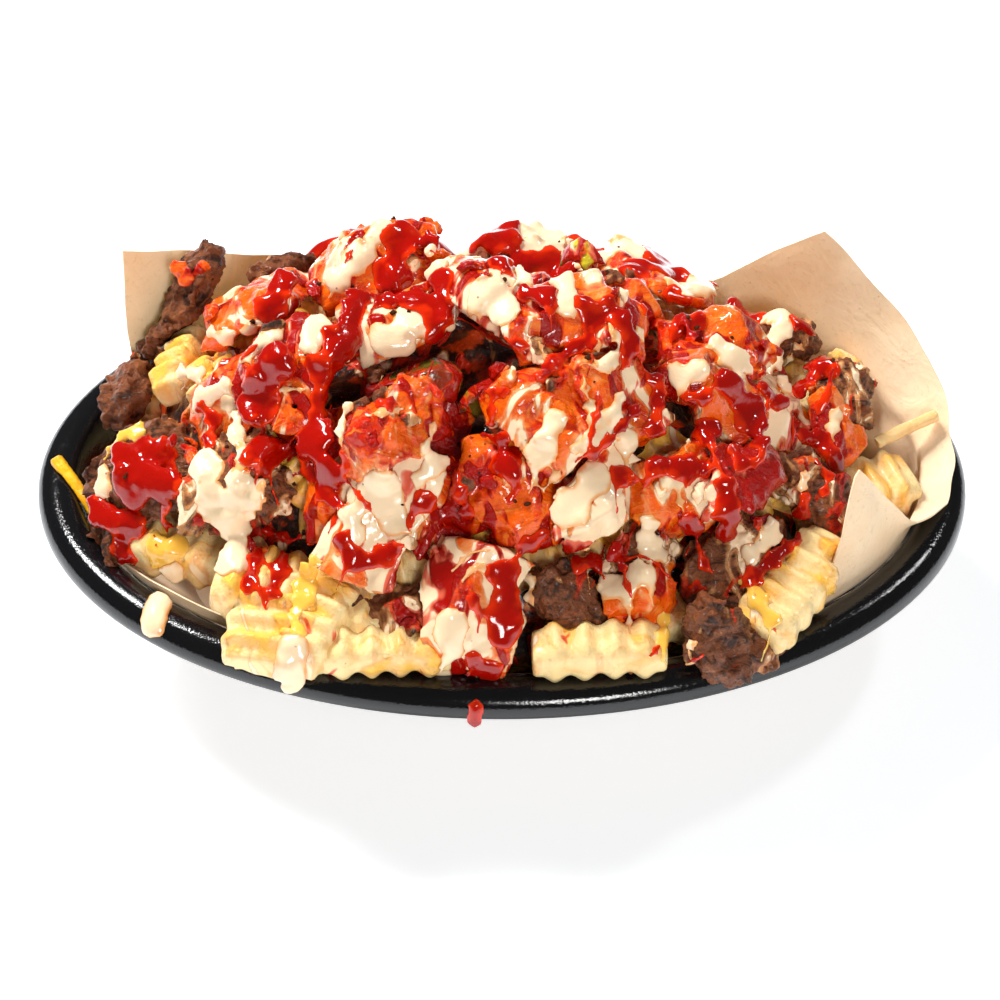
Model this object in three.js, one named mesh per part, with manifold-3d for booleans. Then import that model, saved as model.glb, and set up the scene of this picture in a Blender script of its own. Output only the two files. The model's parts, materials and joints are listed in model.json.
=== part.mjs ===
// Loaded fries in an oval plastic food basket with a paper liner.
// Crinkle-cut fries are heaped over the rim and carry kimchi leaves, sliced beef and green chilli.
// Millimetres, +Z up. The origin is under the middle of the basket, on the surface it stands on.
// +X runs to the right along the oval's long side, and +Y runs to the back.

import * as THREE from "three";
import { mergeVertices } from "three/addons/utils/BufferGeometryUtils.js";
import Module from "manifold-3d";

const wasm = await Module();
wasm.setup();

// Driving dimensions of the basket.
const RIM_A = 120; // half the length over the rim
const RIM_B = 78; // half the width over the rim
const RIM_Z = 42; // height of the rim
const RIM_UNDER = 38.6; // where the wall meets the underside of the rim
const WALL_TOP_IN = 8.6; // how far the wall's outside starts inside the rim's edge
const WALL_FOOT_IN = 34; // how far the wall's outside ends inside the rim's edge
const WALL = 2.2; // level thickness of the sloping wall
const FLOOR = 2; // thickness of the floor
const RIBS = 38; // upright ribs around the wall
const RIB_SHARE = 0.24; // a rib's share of the pitch
const WINDOW_ROWS = [
  [33, 22],
  [18, 7.5],
]; // upper and lower edge of each row of windows
const SLOT_LENGTH = 28; // slots in the floor
const SLOT_WIDTH = 4;
const SLOT_START = 7; // from the middle line
const SLOT_PITCH = 18;
const SLOT_REACH = 2; // slots to each side of the middle one
const SLOT_END = 5; // from a slot's end to the foot of the wall
const RIBS_IN = 15; // how far inside the rim's edge the ribs are spaced evenly

// Driving dimensions of what is in it.
const BAND_WIDTH = 7; // bands of thick red sauce on the upper leaves
const BAND_RISE = 1.4;
const GAP = 0.35; // clearance between pieces that touch
const PAPER = 0.7; // thickness of the liner
const CORE_TOP = 36; // height of the heaped fries at the wall
const CORE_RISE = 48; // how much higher the middle of the heap is
const CORE_SINK = 3.5; // how far the packed middle lies below the heap's surface
const CORE_CLEAR = 2.6; // how far it stays inside the liner
const CORE_FOOT = 4.2; // height of its underside
const CORE_SHOULDER = 33; // height where its side ends
const LEFT_GAP = 16; // how far it stands back from the left end
const BUMP = 1.5; // height of the bumps on top of it
const HEAP = { x: -10, y: 4, a: 104, b: 64 }; // middle and half axes of the heap
const FRY_PITCH = 7.2; // length of one crinkle
const FRY_CRINKLE = 0.75; // depth of a crinkle, up and down from the mean

const MOVES = 14; // steps by which a fry may be moved in
const MOST_RAISED = 6; // how far a topping may be laid above its place
const RAISE_STEP = 0.8;
const MOST_CUT = 0.04; // share of a topping that may be cut away
const SAG = 0.3; // how far a facet of the oval falls short of its curve, at most
const WELD = 1e-3; // points nearer than this are one
const TOUCH = 0.002; // cubic millimetres that count as not crossing
const TURN = 2 * Math.PI;
const radians = THREE.MathUtils.degToRad;

// A repeatable draw from 0 to 1, so that the heap is the same each time.
function draws(seed) {
  let state = seed >>> 0;
  return () => {
    state = (state * 1664525 + 1013904223) >>> 0;
    return state / 4294967296;
  };
}

// Solids from geometries and back.
function solid(geometry, weld = 1e-4) {
  const bare = geometry.clone();
  bare.deleteAttribute("normal");
  bare.deleteAttribute("uv");
  const merged = mergeVertices(bare, weld);
  const body = new wasm.Manifold(
    new wasm.Mesh({
      numProp: 3,
      vertProperties: merged.attributes.position.array,
      triVerts: new Uint32Array(merged.index.array),
    }),
  );
  if (body.volume() <= 0) throw new Error("a piece is inside out");
  return body;
}

function geometryOf(body) {
  const mesh = body.getMesh();
  const geometry = new THREE.BufferGeometry();
  geometry.setAttribute("position", new THREE.BufferAttribute(mesh.vertProperties, 3));
  geometry.setIndex(new THREE.BufferAttribute(mesh.triVerts, 1));
  return geometry;
}

function largest(body) {
  return body.decompose().reduce((best, b) => (b.volume() > best.volume() ? b : best));
}

// A triangle list from faces of three or four corners.
function faceted(corners, faces) {
  const geometry = new THREE.BufferGeometry();
  geometry.setAttribute("position", new THREE.Float32BufferAttribute(corners.flat(), 3));
  const triangles = [];
  for (const [a, b, c, d] of faces) {
    triangles.push(a, b, c);
    if (d !== undefined) triangles.push(a, c, d);
  }
  geometry.setIndex(triangles);
  return geometry;
}

// The basket.
function ovalPoint(angle, inset, z) {
  return [(RIM_A - inset) * Math.cos(angle), (RIM_B - inset) * Math.sin(angle), z];
}

// Angles that step evenly along the oval, two to a rib: its start and its end.
function ribAngles() {
  const steps = 2880;
  const along = [0];
  for (let i = 1; i <= steps; i++) {
    const a = (TURN * (i - 0.5)) / steps;
    const speed = Math.hypot((RIM_A - RIBS_IN) * Math.sin(a), (RIM_B - RIBS_IN) * Math.cos(a));
    along.push(along[i - 1] + speed);
  }
  const angleAt = (share) => {
    const wanted = share * along[steps];
    const i = along.findIndex((length) => length >= wanted);
    return (TURN * i) / steps;
  };
  const angles = [];
  for (let i = 0; i < RIBS; i++) angles.push(angleAt(i / RIBS), angleAt((i + RIB_SHARE) / RIBS));
  return angles;
}

function wallInset(z) {
  const down = Math.max(0, RIM_UNDER - z) / RIM_UNDER;
  return WALL_TOP_IN + (WALL_FOOT_IN - WALL_TOP_IN) * down;
}

function basket() {
  const angles = ribAngles();
  const columns = angles.length;
  const rim = [
    [WALL_TOP_IN + WALL, 39.8],
    [6.6, RIM_Z],
    [2, 41.2],
    [0, 36],
    [3.8, 38.9],
    [WALL_TOP_IN, RIM_UNDER],
  ];
  const heights = WINDOW_ROWS.flat();
  const outside = [...heights, 0].map((z) => [wallInset(z), z]);
  const inside = [...heights, FLOOR].map((z) => [wallInset(z) + WALL, z]);
  const rings = [...rim, ...outside, ...inside.reverse()];
  const corners = rings.flatMap(([inset, z]) => angles.map((a) => ovalPoint(a, inset, z)));
  const at = (ring, column) => ring * columns + (column % columns);
  const outer = (row) => rim.length + row;
  const inner = (row) => rings.length - 1 - row;
  const opened = new Set(WINDOW_ROWS.flatMap((_, k) => [outer(2 * k), inner(2 * k + 1)]));
  const floorSide = rim.length + outside.length - 1;
  const faces = [];
  for (let ring = 0; ring < rings.length; ring++) {
    if (ring === floorSide) continue;
    const next = (ring + 1) % rings.length;
    for (let column = 0; column < columns; column++) {
      if (opened.has(ring) && column % 2 === 1) continue;
      faces.push([at(ring, column), at(next, column), at(next, column + 1), at(ring, column + 1)]);
    }
  }
  WINDOW_ROWS.forEach((_, k) => {
    const [top, foot] = [2 * k, 2 * k + 1];
    for (let column = 1; column < columns; column += 2) {
      const out = [at(outer(top), column), at(outer(top), column + 1)];
      out.push(at(outer(foot), column + 1), at(outer(foot), column));
      const back = [at(inner(top), column), at(inner(top), column + 1)];
      back.push(at(inner(foot), column + 1), at(inner(foot), column));
      for (let i = 0; i < 4; i++) {
        const j = (i + 1) % 4;
        faces.push([out[j], out[i], back[i], back[j]]);
      }
    }
  });
  const under = corners.push([0, 0, 0]) - 1;
  const over = corners.push([0, 0, FLOOR]) - 1;
  for (let column = 0; column < columns; column++) {
    faces.push([at(floorSide, column), under, at(floorSide, column + 1)]);
    faces.push([at(floorSide + 1, column + 1), over, at(floorSide + 1, column)]);
  }
  let body = solid(faceted(corners, faces));
  for (const side of [-1, 1]) {
    for (let i = -SLOT_REACH; i <= SLOT_REACH; i++) {
      const x = i * SLOT_PITCH;
      const room = (RIM_B - WALL_FOOT_IN) * Math.sqrt(1 - (x / (RIM_A - WALL_FOOT_IN)) ** 2);
      const length = Math.min(SLOT_LENGTH, room - SLOT_START - SLOT_END);
      const slot = new THREE.BoxGeometry(SLOT_WIDTH, length, 4 * FLOOR);
      slot.translate(x, side * (SLOT_START + length / 2), 0);
      body = body.subtract(solid(slot));
    }
  }
  return body;
}

// The rim and wall without windows, which pieces that lean on them are cut to.
function basketBlock() {
  const columns = 60;
  const ring = [
    [WALL_TOP_IN + WALL + GAP, 39.8],
    [6.6, RIM_Z + GAP + SAG],
    [2, 41.2 + GAP + SAG],
    [-GAP - SAG, 36],
    [WALL_TOP_IN, 35],
    [wallInset(7) - 1, 7],
    [wallInset(7) + WALL + GAP, 7],
    [wallInset(34) + WALL + GAP, 34],
  ];
  const corners = [];
  const faces = [];
  for (let c = 0; c < columns; c++) {
    for (const [inset, z] of ring) corners.push(ovalPoint((TURN * c) / columns, inset, z));
  }
  const n = ring.length;
  for (let c = 0; c < columns; c++) {
    const d = (c + 1) % columns;
    for (let i = 0; i < n; i++) {
      const j = (i + 1) % n;
      faces.push([c * n + i, c * n + j, d * n + j, d * n + i]);
    }
  }
  return solid(faceted(corners, faces));
}

// The liner. Its upper edge, by angle round the oval: height, and how far inside the rim's edge.
const LINER_EDGE = [
  { angle: -180, z: 15, inset: 30 },
  { angle: -166, z: 24, inset: 22 },
  { angle: -156, z: 39, inset: 11.6 },
  { angle: -140, z: 42.6, inset: 9.6 },
  { angle: -122, z: 42.4, inset: 10 },
  { angle: -108, z: 37, inset: 12 },
  { angle: -80, z: 34, inset: 14 },
  { angle: -66, z: 35, inset: 13 },
  { angle: -56, z: 37, inset: 12 },
  { angle: -48, z: 43, inset: 12 },
  { angle: -43, z: 54, inset: 14 },
  { angle: -38, z: 68, inset: 18 },
  { angle: -32, z: 73, inset: 20 },
  { angle: -27, z: 63, inset: 17 },
  { angle: -22, z: 47, inset: 9 },
  { angle: -12, z: 43.4, inset: 4.5 },
  { angle: 5, z: 46, inset: 2.5 },
  { angle: 18, z: 57, inset: 2 },
  { angle: 30, z: 67, inset: 4 },
  { angle: 42, z: 80, inset: 6.5 },
  { angle: 50, z: 68, inset: 8 },
  { angle: 58, z: 54, inset: 9.5 },
  { angle: 72, z: 46, inset: 10 },
  { angle: 95, z: 47, inset: 9.5 },
  { angle: 112, z: 54, inset: 7 },
  { angle: 126, z: 62, inset: 4.5 },
  { angle: 138, z: 71, inset: 2.5 },
  { angle: 147, z: 79, inset: 2.5 },
  { angle: 151, z: 60, inset: 7 },
  { angle: 155, z: 38, inset: 12 },
  { angle: 164, z: 22, inset: 24 },
];

function linerEdge(degrees) {
  const turned = ((((degrees + 180) % 360) + 360) % 360) - 180;
  const next = LINER_EDGE.findIndex((k) => k.angle > turned);
  const after = next < 0 ? { ...LINER_EDGE[0], angle: 180 } : LINER_EDGE[next];
  const before = LINER_EDGE[next < 0 ? LINER_EDGE.length - 1 : next - 1];
  const share = (turned - before.angle) / (after.angle - before.angle);
  const ease = share * share * (3 - 2 * share);
  return {
    z: before.z + (after.z - before.z) * ease,
    inset: before.inset + (after.inset - before.inset) * ease,
  };
}

const LINER_FLOOR = FLOOR + GAP;
const LINER_LEAVES = RIM_Z + 0.6; // above this the liner is free of the basket
const LINER_CLEAR = 0.75; // level distance between the wall and the liner
function linerInset(z) {
  return wallInset(z) + WALL + LINER_CLEAR;
}

// A point of the liner's underside, from 0 at the foot of the wall to 1 at its upper edge.
function linerPoint(degrees, share) {
  const edge = linerEdge(degrees);
  const angle = radians(degrees);
  if (edge.z < LINER_LEAVES) {
    const z = LINER_FLOOR + (edge.z - LINER_FLOOR) * share;
    return ovalPoint(angle, linerInset(z), z);
  }
  const bend = 0.55;
  if (share <= bend) {
    const z = LINER_FLOOR + (LINER_LEAVES - LINER_FLOOR) * (share / bend);
    return ovalPoint(angle, linerInset(z), z);
  }
  const up = (share - bend) / (1 - bend);
  const start = linerInset(LINER_LEAVES);
  const rise = edge.z - LINER_LEAVES;
  return ovalPoint(angle, start + (edge.inset - start) * up ** 1.3, LINER_LEAVES + rise * up);
}

function liner(grow) {
  const columns = 48;
  const rows = [0, 0.28, 0.55, 0.76, 1];
  const corners = [];
  const step = 0.05;
  for (const side of [0, 1]) {
    for (const share of rows) {
      for (let c = 0; c < columns; c++) {
        const degrees = (360 * c) / columns;
        const p = new THREE.Vector3(...linerPoint(degrees, share));
        const along = new THREE.Vector3(...linerPoint(degrees + 1, share)).sub(p);
        const low = new THREE.Vector3(...linerPoint(degrees, Math.max(0, share - step)));
        const high = new THREE.Vector3(...linerPoint(degrees, Math.min(1, share + step)));
        const up = high.sub(low).normalize();
        const inward = new THREE.Vector3().crossVectors(up, along).normalize();
        if (inward.x * p.x + inward.y * p.y > 0) inward.negate();
        p.addScaledVector(inward, side ? PAPER + grow : -grow);
        if (share === 1) p.addScaledVector(up, grow);
        if (share === 0) p.z = side ? LINER_FLOOR + PAPER + grow : LINER_FLOOR - grow;
        corners.push(p.toArray());
      }
    }
  }
  const at = (side, row, c) => (side * rows.length + row) * columns + (c % columns);
  const faces = [];
  const last = rows.length - 1;
  for (let c = 0; c < columns; c++) {
    for (let r = 0; r < last; r++) {
      faces.push([at(0, r, c), at(0, r, c + 1), at(0, r + 1, c + 1), at(0, r + 1, c)]);
      faces.push([at(1, r, c + 1), at(1, r, c), at(1, r + 1, c), at(1, r + 1, c + 1)]);
    }
    faces.push([at(0, last, c), at(0, last, c + 1), at(1, last, c + 1), at(1, last, c)]);
  }
  const under = corners.push([0, 0, LINER_FLOOR - grow]) - 1;
  const over = corners.push([0, 0, LINER_FLOOR + PAPER + grow]) - 1;
  for (let c = 0; c < columns; c++) {
    faces.push([at(0, 0, c + 1), at(0, 0, c), under]);
    faces.push([at(1, 0, c), at(1, 0, c + 1), over]);
  }
  return solid(faceted(corners, faces));
}

// The heap's own surface, without what lies on it.
function heapHeight(x, y) {
  const out = ((x - HEAP.x) / HEAP.a) ** 2 + ((y - HEAP.y) / HEAP.b) ** 2;
  return CORE_TOP + CORE_RISE * (1 - out);
}

function heapNormal(x, y) {
  const slopeX = (2 * CORE_RISE * (x - HEAP.x)) / HEAP.a ** 2;
  const slopeY = (2 * CORE_RISE * (y - HEAP.y)) / HEAP.b ** 2;
  return new THREE.Vector3(slopeX, slopeY, 1).normalize();
}

// The core follows the liner up to the rim and rounds over. It stands back from the left end.
function core(grow) {
  const columns = 28;
  const standBack = (a) => LEFT_GAP * Math.max(0, -Math.cos(a - 0.35)) ** 6;
  const sides = [CORE_FOOT, 18, CORE_SHOULDER];
  const tops = [0.88, 0.68, 0.38];
  const corners = [];
  const liningAndGaps = WALL + PAPER + 3 * GAP;
  for (const z of sides) {
    for (let c = 0; c < columns; c++) {
      const a = (TURN * c) / columns;
      const away = standBack(a) * Math.min(1, z / 20) + CORE_CLEAR;
      const foot = z === sides[0] ? -grow : 0;
      corners.push(ovalPoint(a, wallInset(z) + liningAndGaps + away - grow, z + foot));
    }
  }
  for (const share of tops) {
    for (let c = 0; c < columns; c++) {
      const a = (TURN * c) / columns;
      const inset = wallInset(CORE_SHOULDER) + liningAndGaps + CORE_CLEAR + standBack(a);
      const [rimX, rimY] = ovalPoint(a, inset, 0);
      const x = HEAP.x + (rimX - HEAP.x) * share;
      const y = HEAP.y + (rimY - HEAP.y) * share;
      const bump = BUMP * Math.sin(0.21 * x + 1.1) * Math.cos(0.27 * y);
      corners.push([x, y, Math.max(CORE_SHOULDER + 0.5, heapHeight(x, y) + bump - CORE_SINK) + grow]);
    }
  }
  const rings = sides.length + tops.length;
  const faces = [];
  const at = (ring, c) => ring * columns + (c % columns);
  for (let ring = 0; ring + 1 < rings; ring++) {
    for (let c = 0; c < columns; c++) {
      faces.push([at(ring, c), at(ring, c + 1), at(ring + 1, c + 1), at(ring + 1, c)]);
    }
  }
  const foot = corners.push([0, 0, sides[0] - grow]) - 1;
  const peak = corners.push([HEAP.x, HEAP.y, heapHeight(HEAP.x, HEAP.y) - CORE_SINK + grow]) - 1;
  for (let c = 0; c < columns; c++) {
    faces.push([at(0, c + 1), at(0, c), foot]);
    faces.push([at(rings - 1, c), at(rings - 1, c + 1), peak]);
  }
  return solid(faceted(corners, faces));
}

// A frame on the heap: local x is the heading, and local z leaves the surface.
// pitch lifts the heading end, roll turns about the heading.
function placed(geometry, { x, y, z, lift = 0, yaw = 0, pitch = 0, roll = 0, upright = false }) {
  const normal = upright ? new THREE.Vector3(0, 0, 1) : heapNormal(x, y);
  const heading = new THREE.Vector3(Math.cos(radians(yaw)), Math.sin(radians(yaw)), 0);
  const side = new THREE.Vector3().crossVectors(normal, heading).normalize();
  const ahead = new THREE.Vector3().crossVectors(side, normal);
  const turn = new THREE.Matrix4().makeBasis(ahead, side, normal);
  turn.multiply(new THREE.Matrix4().makeRotationY(-radians(pitch)));
  turn.multiply(new THREE.Matrix4().makeRotationX(radians(roll)));
  const height = z ?? heapHeight(x, y);
  const middle = new THREE.Vector3(x, y, height).addScaledVector(normal, lift);
  turn.setPosition(middle);
  return geometry.applyMatrix4(turn);
}

// A crinkle-cut fry along x: a bar whose faces run in waves, slightly bent.
// Plain, it has the waves' full width.
function fryShape({ length, width = 10, thick = 9.5, bend = 0 }, grow, plain) {
  const waves = Math.max(4, Math.round(length / FRY_PITCH));
  const stations = plain ? 2 : 2 * waves;
  const corners = [];
  for (let i = 0; i <= stations; i++) {
    const along = i / stations - 0.5;
    const end = !plain && (i === 0 || i === stations) ? 0.82 : 1;
    const wave = plain || i % 2 ? FRY_CRINKLE : -FRY_CRINKLE;
    const halfWide = (width / 2 + wave) * end + grow;
    const halfThick = (thick / 2 + wave) * end + grow;
    const x = along * (length + 2 * grow);
    const z = -bend * 4 * along * along;
    corners.push([x, -halfWide, z - halfThick], [x, halfWide, z - halfThick]);
    corners.push([x, halfWide, z + halfThick], [x, -halfWide, z + halfThick]);
  }
  const faces = [];
  for (let i = 0; i < stations; i++) {
    for (let k = 0; k < 4; k++) {
      const [a, b] = [4 * i + k, 4 * i + ((k + 1) % 4)];
      faces.push([a, b, b + 4, a + 4]);
    }
  }
  const end = 4 * stations;
  faces.push([3, 2, 1, 0], [end, end + 1, end + 2, end + 3]);
  return faceted(corners, faces);
}

// The fries that show round the heap's foot. Those at the front lie as served, the rest by rule.
const SHOWN_FRIES = [
  { x: -49, y: -51, z: 47, yaw: -12, pitch: -6, length: 42, width: 18, thick: 12, upright: true },
  { x: -53, y: -57, z: 40.5, yaw: 78, pitch: 14, length: 30, width: 17, thick: 9, upright: true },
  { x: -78, y: -38, z: 43, yaw: -20, pitch: 2, length: 36, width: 13, thick: 12, upright: true },
  { x: -26, y: -58, z: 37, yaw: 2, pitch: 0, length: 40, width: 12, thick: 10, upright: true },
  { x: 21, y: -60, z: 38.5, yaw: 3, pitch: 0, length: 36, width: 11, thick: 11, upright: true },
  { x: 40, y: -52, z: 40, yaw: 18, pitch: 0, length: 30, width: 11, thick: 10, upright: true },
  { x: 68, y: -42, z: 44, yaw: 48, pitch: 10, length: 40, width: 20, thick: 9, upright: true },
  { x: 90, y: -12, z: 42, yaw: 20, pitch: 4, length: 34, width: 16, thick: 10, upright: true },
  { x: 84, y: 16, z: 44, yaw: 65, pitch: 6, length: 44, upright: true },
  { x: 28, y: 42, z: 54, yaw: 62, pitch: 54, length: 42, width: 11, thick: 10, upright: true },
  { x: -88, y: 2, z: 40, yaw: 100, pitch: 5, length: 44, width: 12, thick: 10, upright: true },
  { x: -78, y: 26, z: 46, yaw: 30, pitch: 8, length: 44, width: 12, thick: 10, upright: true },
];
const REAR_FRIES = 6;

function fryList() {
  const draw = draws(20);
  const list = SHOWN_FRIES.map((fry) => ({ ...fry, bend: 1 + 2 * draw() }));
  for (let i = 0; i < REAR_FRIES; i++) {
    const degrees = 30 + (122 * i) / (REAR_FRIES - 1) + 4 * (draw() - 0.5);
    const [x, y] = ovalPoint(radians(degrees), 27 + 5 * draw(), 0);
    const yaw = degrees + 90 + (i % 2 ? 30 : -30) + 16 * (draw() - 0.5);
    const fry = { x, y, yaw, length: 28 + 8 * draw(), pitch: 12 * (draw() - 0.5) };
    list.push({ ...fry, lift: 0.5, bend: 1 + 2 * draw() });
  }
  return list;
}

// A slice of beef: one lump pulled along x, pinched and swollen along its length.
function beefShape({ size, lumps = 2.5, seed, curl = 2 }, grow, plain) {
  const draw = draws(seed);
  const phases = [draw() * TURN, draw() * TURN, draw() * TURN];
  const swell = plain ? 1.26 : 1;
  const half = size.map((length) => length / 2);
  const detail = plain ? 0 : long(size) > 36 ? 2 : 1;
  const ball = new THREE.IcosahedronGeometry(1, detail);
  const position = ball.getAttribute("position");
  const p = new THREE.Vector3();
  for (let k = 0; k < position.count; k++) {
    p.fromBufferAttribute(position, k);
    const boxy = p.toArray().map((v) => Math.sign(v) * Math.abs(v) ** 0.8);
    const rough = 1 + 0.14 * Math.sin(5 * p.x + phases[0]) * Math.sin(4 * p.y + phases[1]);
    const pinch = 1 + 0.2 * Math.sin(lumps * Math.PI * p.x + phases[2]);
    const x = boxy[0] * (half[0] * rough + grow) * swell;
    const y = boxy[1] * (half[1] * rough * pinch + grow) * swell;
    const side = 0.18 * size[1] * Math.sin(2.2 * p.x + phases[1]);
    const z = boxy[2] * (half[2] * rough + grow) * swell - curl * p.x * p.x;
    position.setXYZ(k, x, y + side, z);
  }
  return ball;
}

function long(size) {
  return Math.max(...size);
}

// A leaf or strip: a thin slab that arches over what it lies on, with a wavy outline and folds.
// drizzle lists bands of thick sauce on its upper side, each from one place (u, v) to another.
function leafShape({ size, arch = 5, wave = 1.6, seed, taper = 0.25, drizzle = [] }, grow, plain) {
  const draw = draws(seed);
  const [length, width, thick] = size;
  const [nu, nv] = plain ? [4, 3] : long(size) > 27 ? [5, 4] : [5, 3];
  const phases = [draw() * TURN, draw() * TURN, draw() * TURN, draw() * TURN];
  const middle = (u, v) => {
    const narrow = 1 - taper * u * u - 0.12 * Math.sin(2.4 * u + phases[0]);
    const x = u * (length / 2 + grow) * (1 - 0.16 * v * v);
    const y = v * (width / 2 + grow) * narrow + 1.5 * Math.sin(1.9 * u + phases[1]);
    const droop = -arch * (0.6 * u * u + 0.4 * v * v);
    const folds = Math.sin(3.4 * u + phases[2]) + 0.8 * Math.sin(4 * v + phases[3] + u);
    return [x, y, droop + wave * folds];
  };
  const corners = [];
  for (const side of [-1, 1]) {
    for (let j = 0; j < nv; j++) {
      for (let i = 0; i < nu; i++) {
        const edge = i === 0 || j === 0 || i === nu - 1 || j === nv - 1;
        const half = (thick / 2 + grow) * (edge && !plain ? 0.5 : 1);
        const [x, y, z] = middle((2 * i) / (nu - 1) - 1, (2 * j) / (nv - 1) - 1);
        corners.push([x, y, z + side * half]);
      }
    }
  }
  const at = (side, i, j) => (side * nv + j) * nu + i;
  const faces = [];
  for (let j = 0; j + 1 < nv; j++) {
    for (let i = 0; i + 1 < nu; i++) {
      faces.push([at(0, i, j), at(0, i, j + 1), at(0, i + 1, j + 1), at(0, i + 1, j)]);
      faces.push([at(1, i, j), at(1, i + 1, j), at(1, i + 1, j + 1), at(1, i, j + 1)]);
    }
  }
  for (let i = 0; i + 1 < nu; i++) {
    faces.push([at(0, i, 0), at(0, i + 1, 0), at(1, i + 1, 0), at(1, i, 0)]);
    faces.push([at(0, i + 1, nv - 1), at(0, i, nv - 1), at(1, i, nv - 1), at(1, i + 1, nv - 1)]);
  }
  for (let j = 0; j + 1 < nv; j++) {
    faces.push([at(0, 0, j + 1), at(0, 0, j), at(1, 0, j), at(1, 0, j + 1)]);
    faces.push([at(0, nu - 1, j), at(0, nu - 1, j + 1), at(1, nu - 1, j + 1), at(1, nu - 1, j)]);
  }
  const leaf = faceted(corners, faces);
  if (plain || !drizzle.length) return leaf;
  const bands = drizzle.map(([from, to]) => solid(bandShape(middle, from, to, thick / 2, grow)));
  return geometryOf(bands.reduce((body, band) => body.add(band), solid(leaf)));
}

// A band of thick sauce across a leaf, rounded on top and sunk into it.
function bandShape(middle, from, to, above, grow) {
  const stations = 4;
  const corners = [];
  for (let i = 0; i < stations; i++) {
    const share = i / (stations - 1);
    const u = from[0] + (to[0] - from[0]) * share;
    const v = from[1] + (to[1] - from[1]) * share;
    const [x, y, z] = middle(u, v);
    const end = i === 0 || i === stations - 1 ? 0.7 : 1;
    const half = BAND_WIDTH * 0.5 * end + grow;
    const across = new THREE.Vector2(from[1] - to[1], to[0] - from[0]).normalize();
    const top = z + above + BAND_RISE * end + grow;
    const low = z + above - 2.5;
    corners.push([x - across.x * half, y - across.y * half, z + above * 0.5]);
    corners.push([x, y, low], [x + across.x * half, y + across.y * half, z + above * 0.5]);
    corners.push([x, y, top]);
  }
  const faces = [];
  for (let i = 0; i + 1 < stations; i++) {
    for (let k = 0; k < 4; k++) {
      const [a, b] = [4 * i + k, 4 * i + ((k + 1) % 4)];
      faces.push([a, b, b + 4, a + 4]);
    }
  }
  const end = 4 * (stations - 1);
  faces.push([3, 2, 1, 0], [end, end + 1, end + 2, end + 3]);
  return faceted(corners, faces);
}

// A shred of cheese: a thin bent stick.
const SIDES = 5;
function shredShape({ length, width, thick, bend }, grow) {
  const stations = 4;
  const corners = [];
  for (let i = 0; i <= stations; i++) {
    const along = i / stations - 0.5;
    const x = along * (length + 2 * grow);
    const z = -bend * 4 * along * along;
    const [halfWide, halfThick] = [width / 2 + grow, thick / 2 + grow];
    for (let k = 0; k < SIDES; k++) {
      const a = (TURN * k) / SIDES;
      corners.push([x, halfWide * Math.cos(a), z + halfThick * Math.sin(a)]);
    }
  }
  const faces = [];
  for (let i = 0; i < stations; i++) {
    for (let k = 0; k < SIDES; k++) {
      const [a, b] = [SIDES * i + k, SIDES * i + ((k + 1) % SIDES)];
      faces.push([a, b, b + SIDES, a + SIDES]);
    }
  }
  const end = SIDES * stations;
  for (let k = 1; k + 1 < SIDES; k++) {
    faces.push([0, k + 1, k]);
    faces.push([end, end + k, end + k + 1]);
  }
  return faceted(corners, faces);
}

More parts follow.
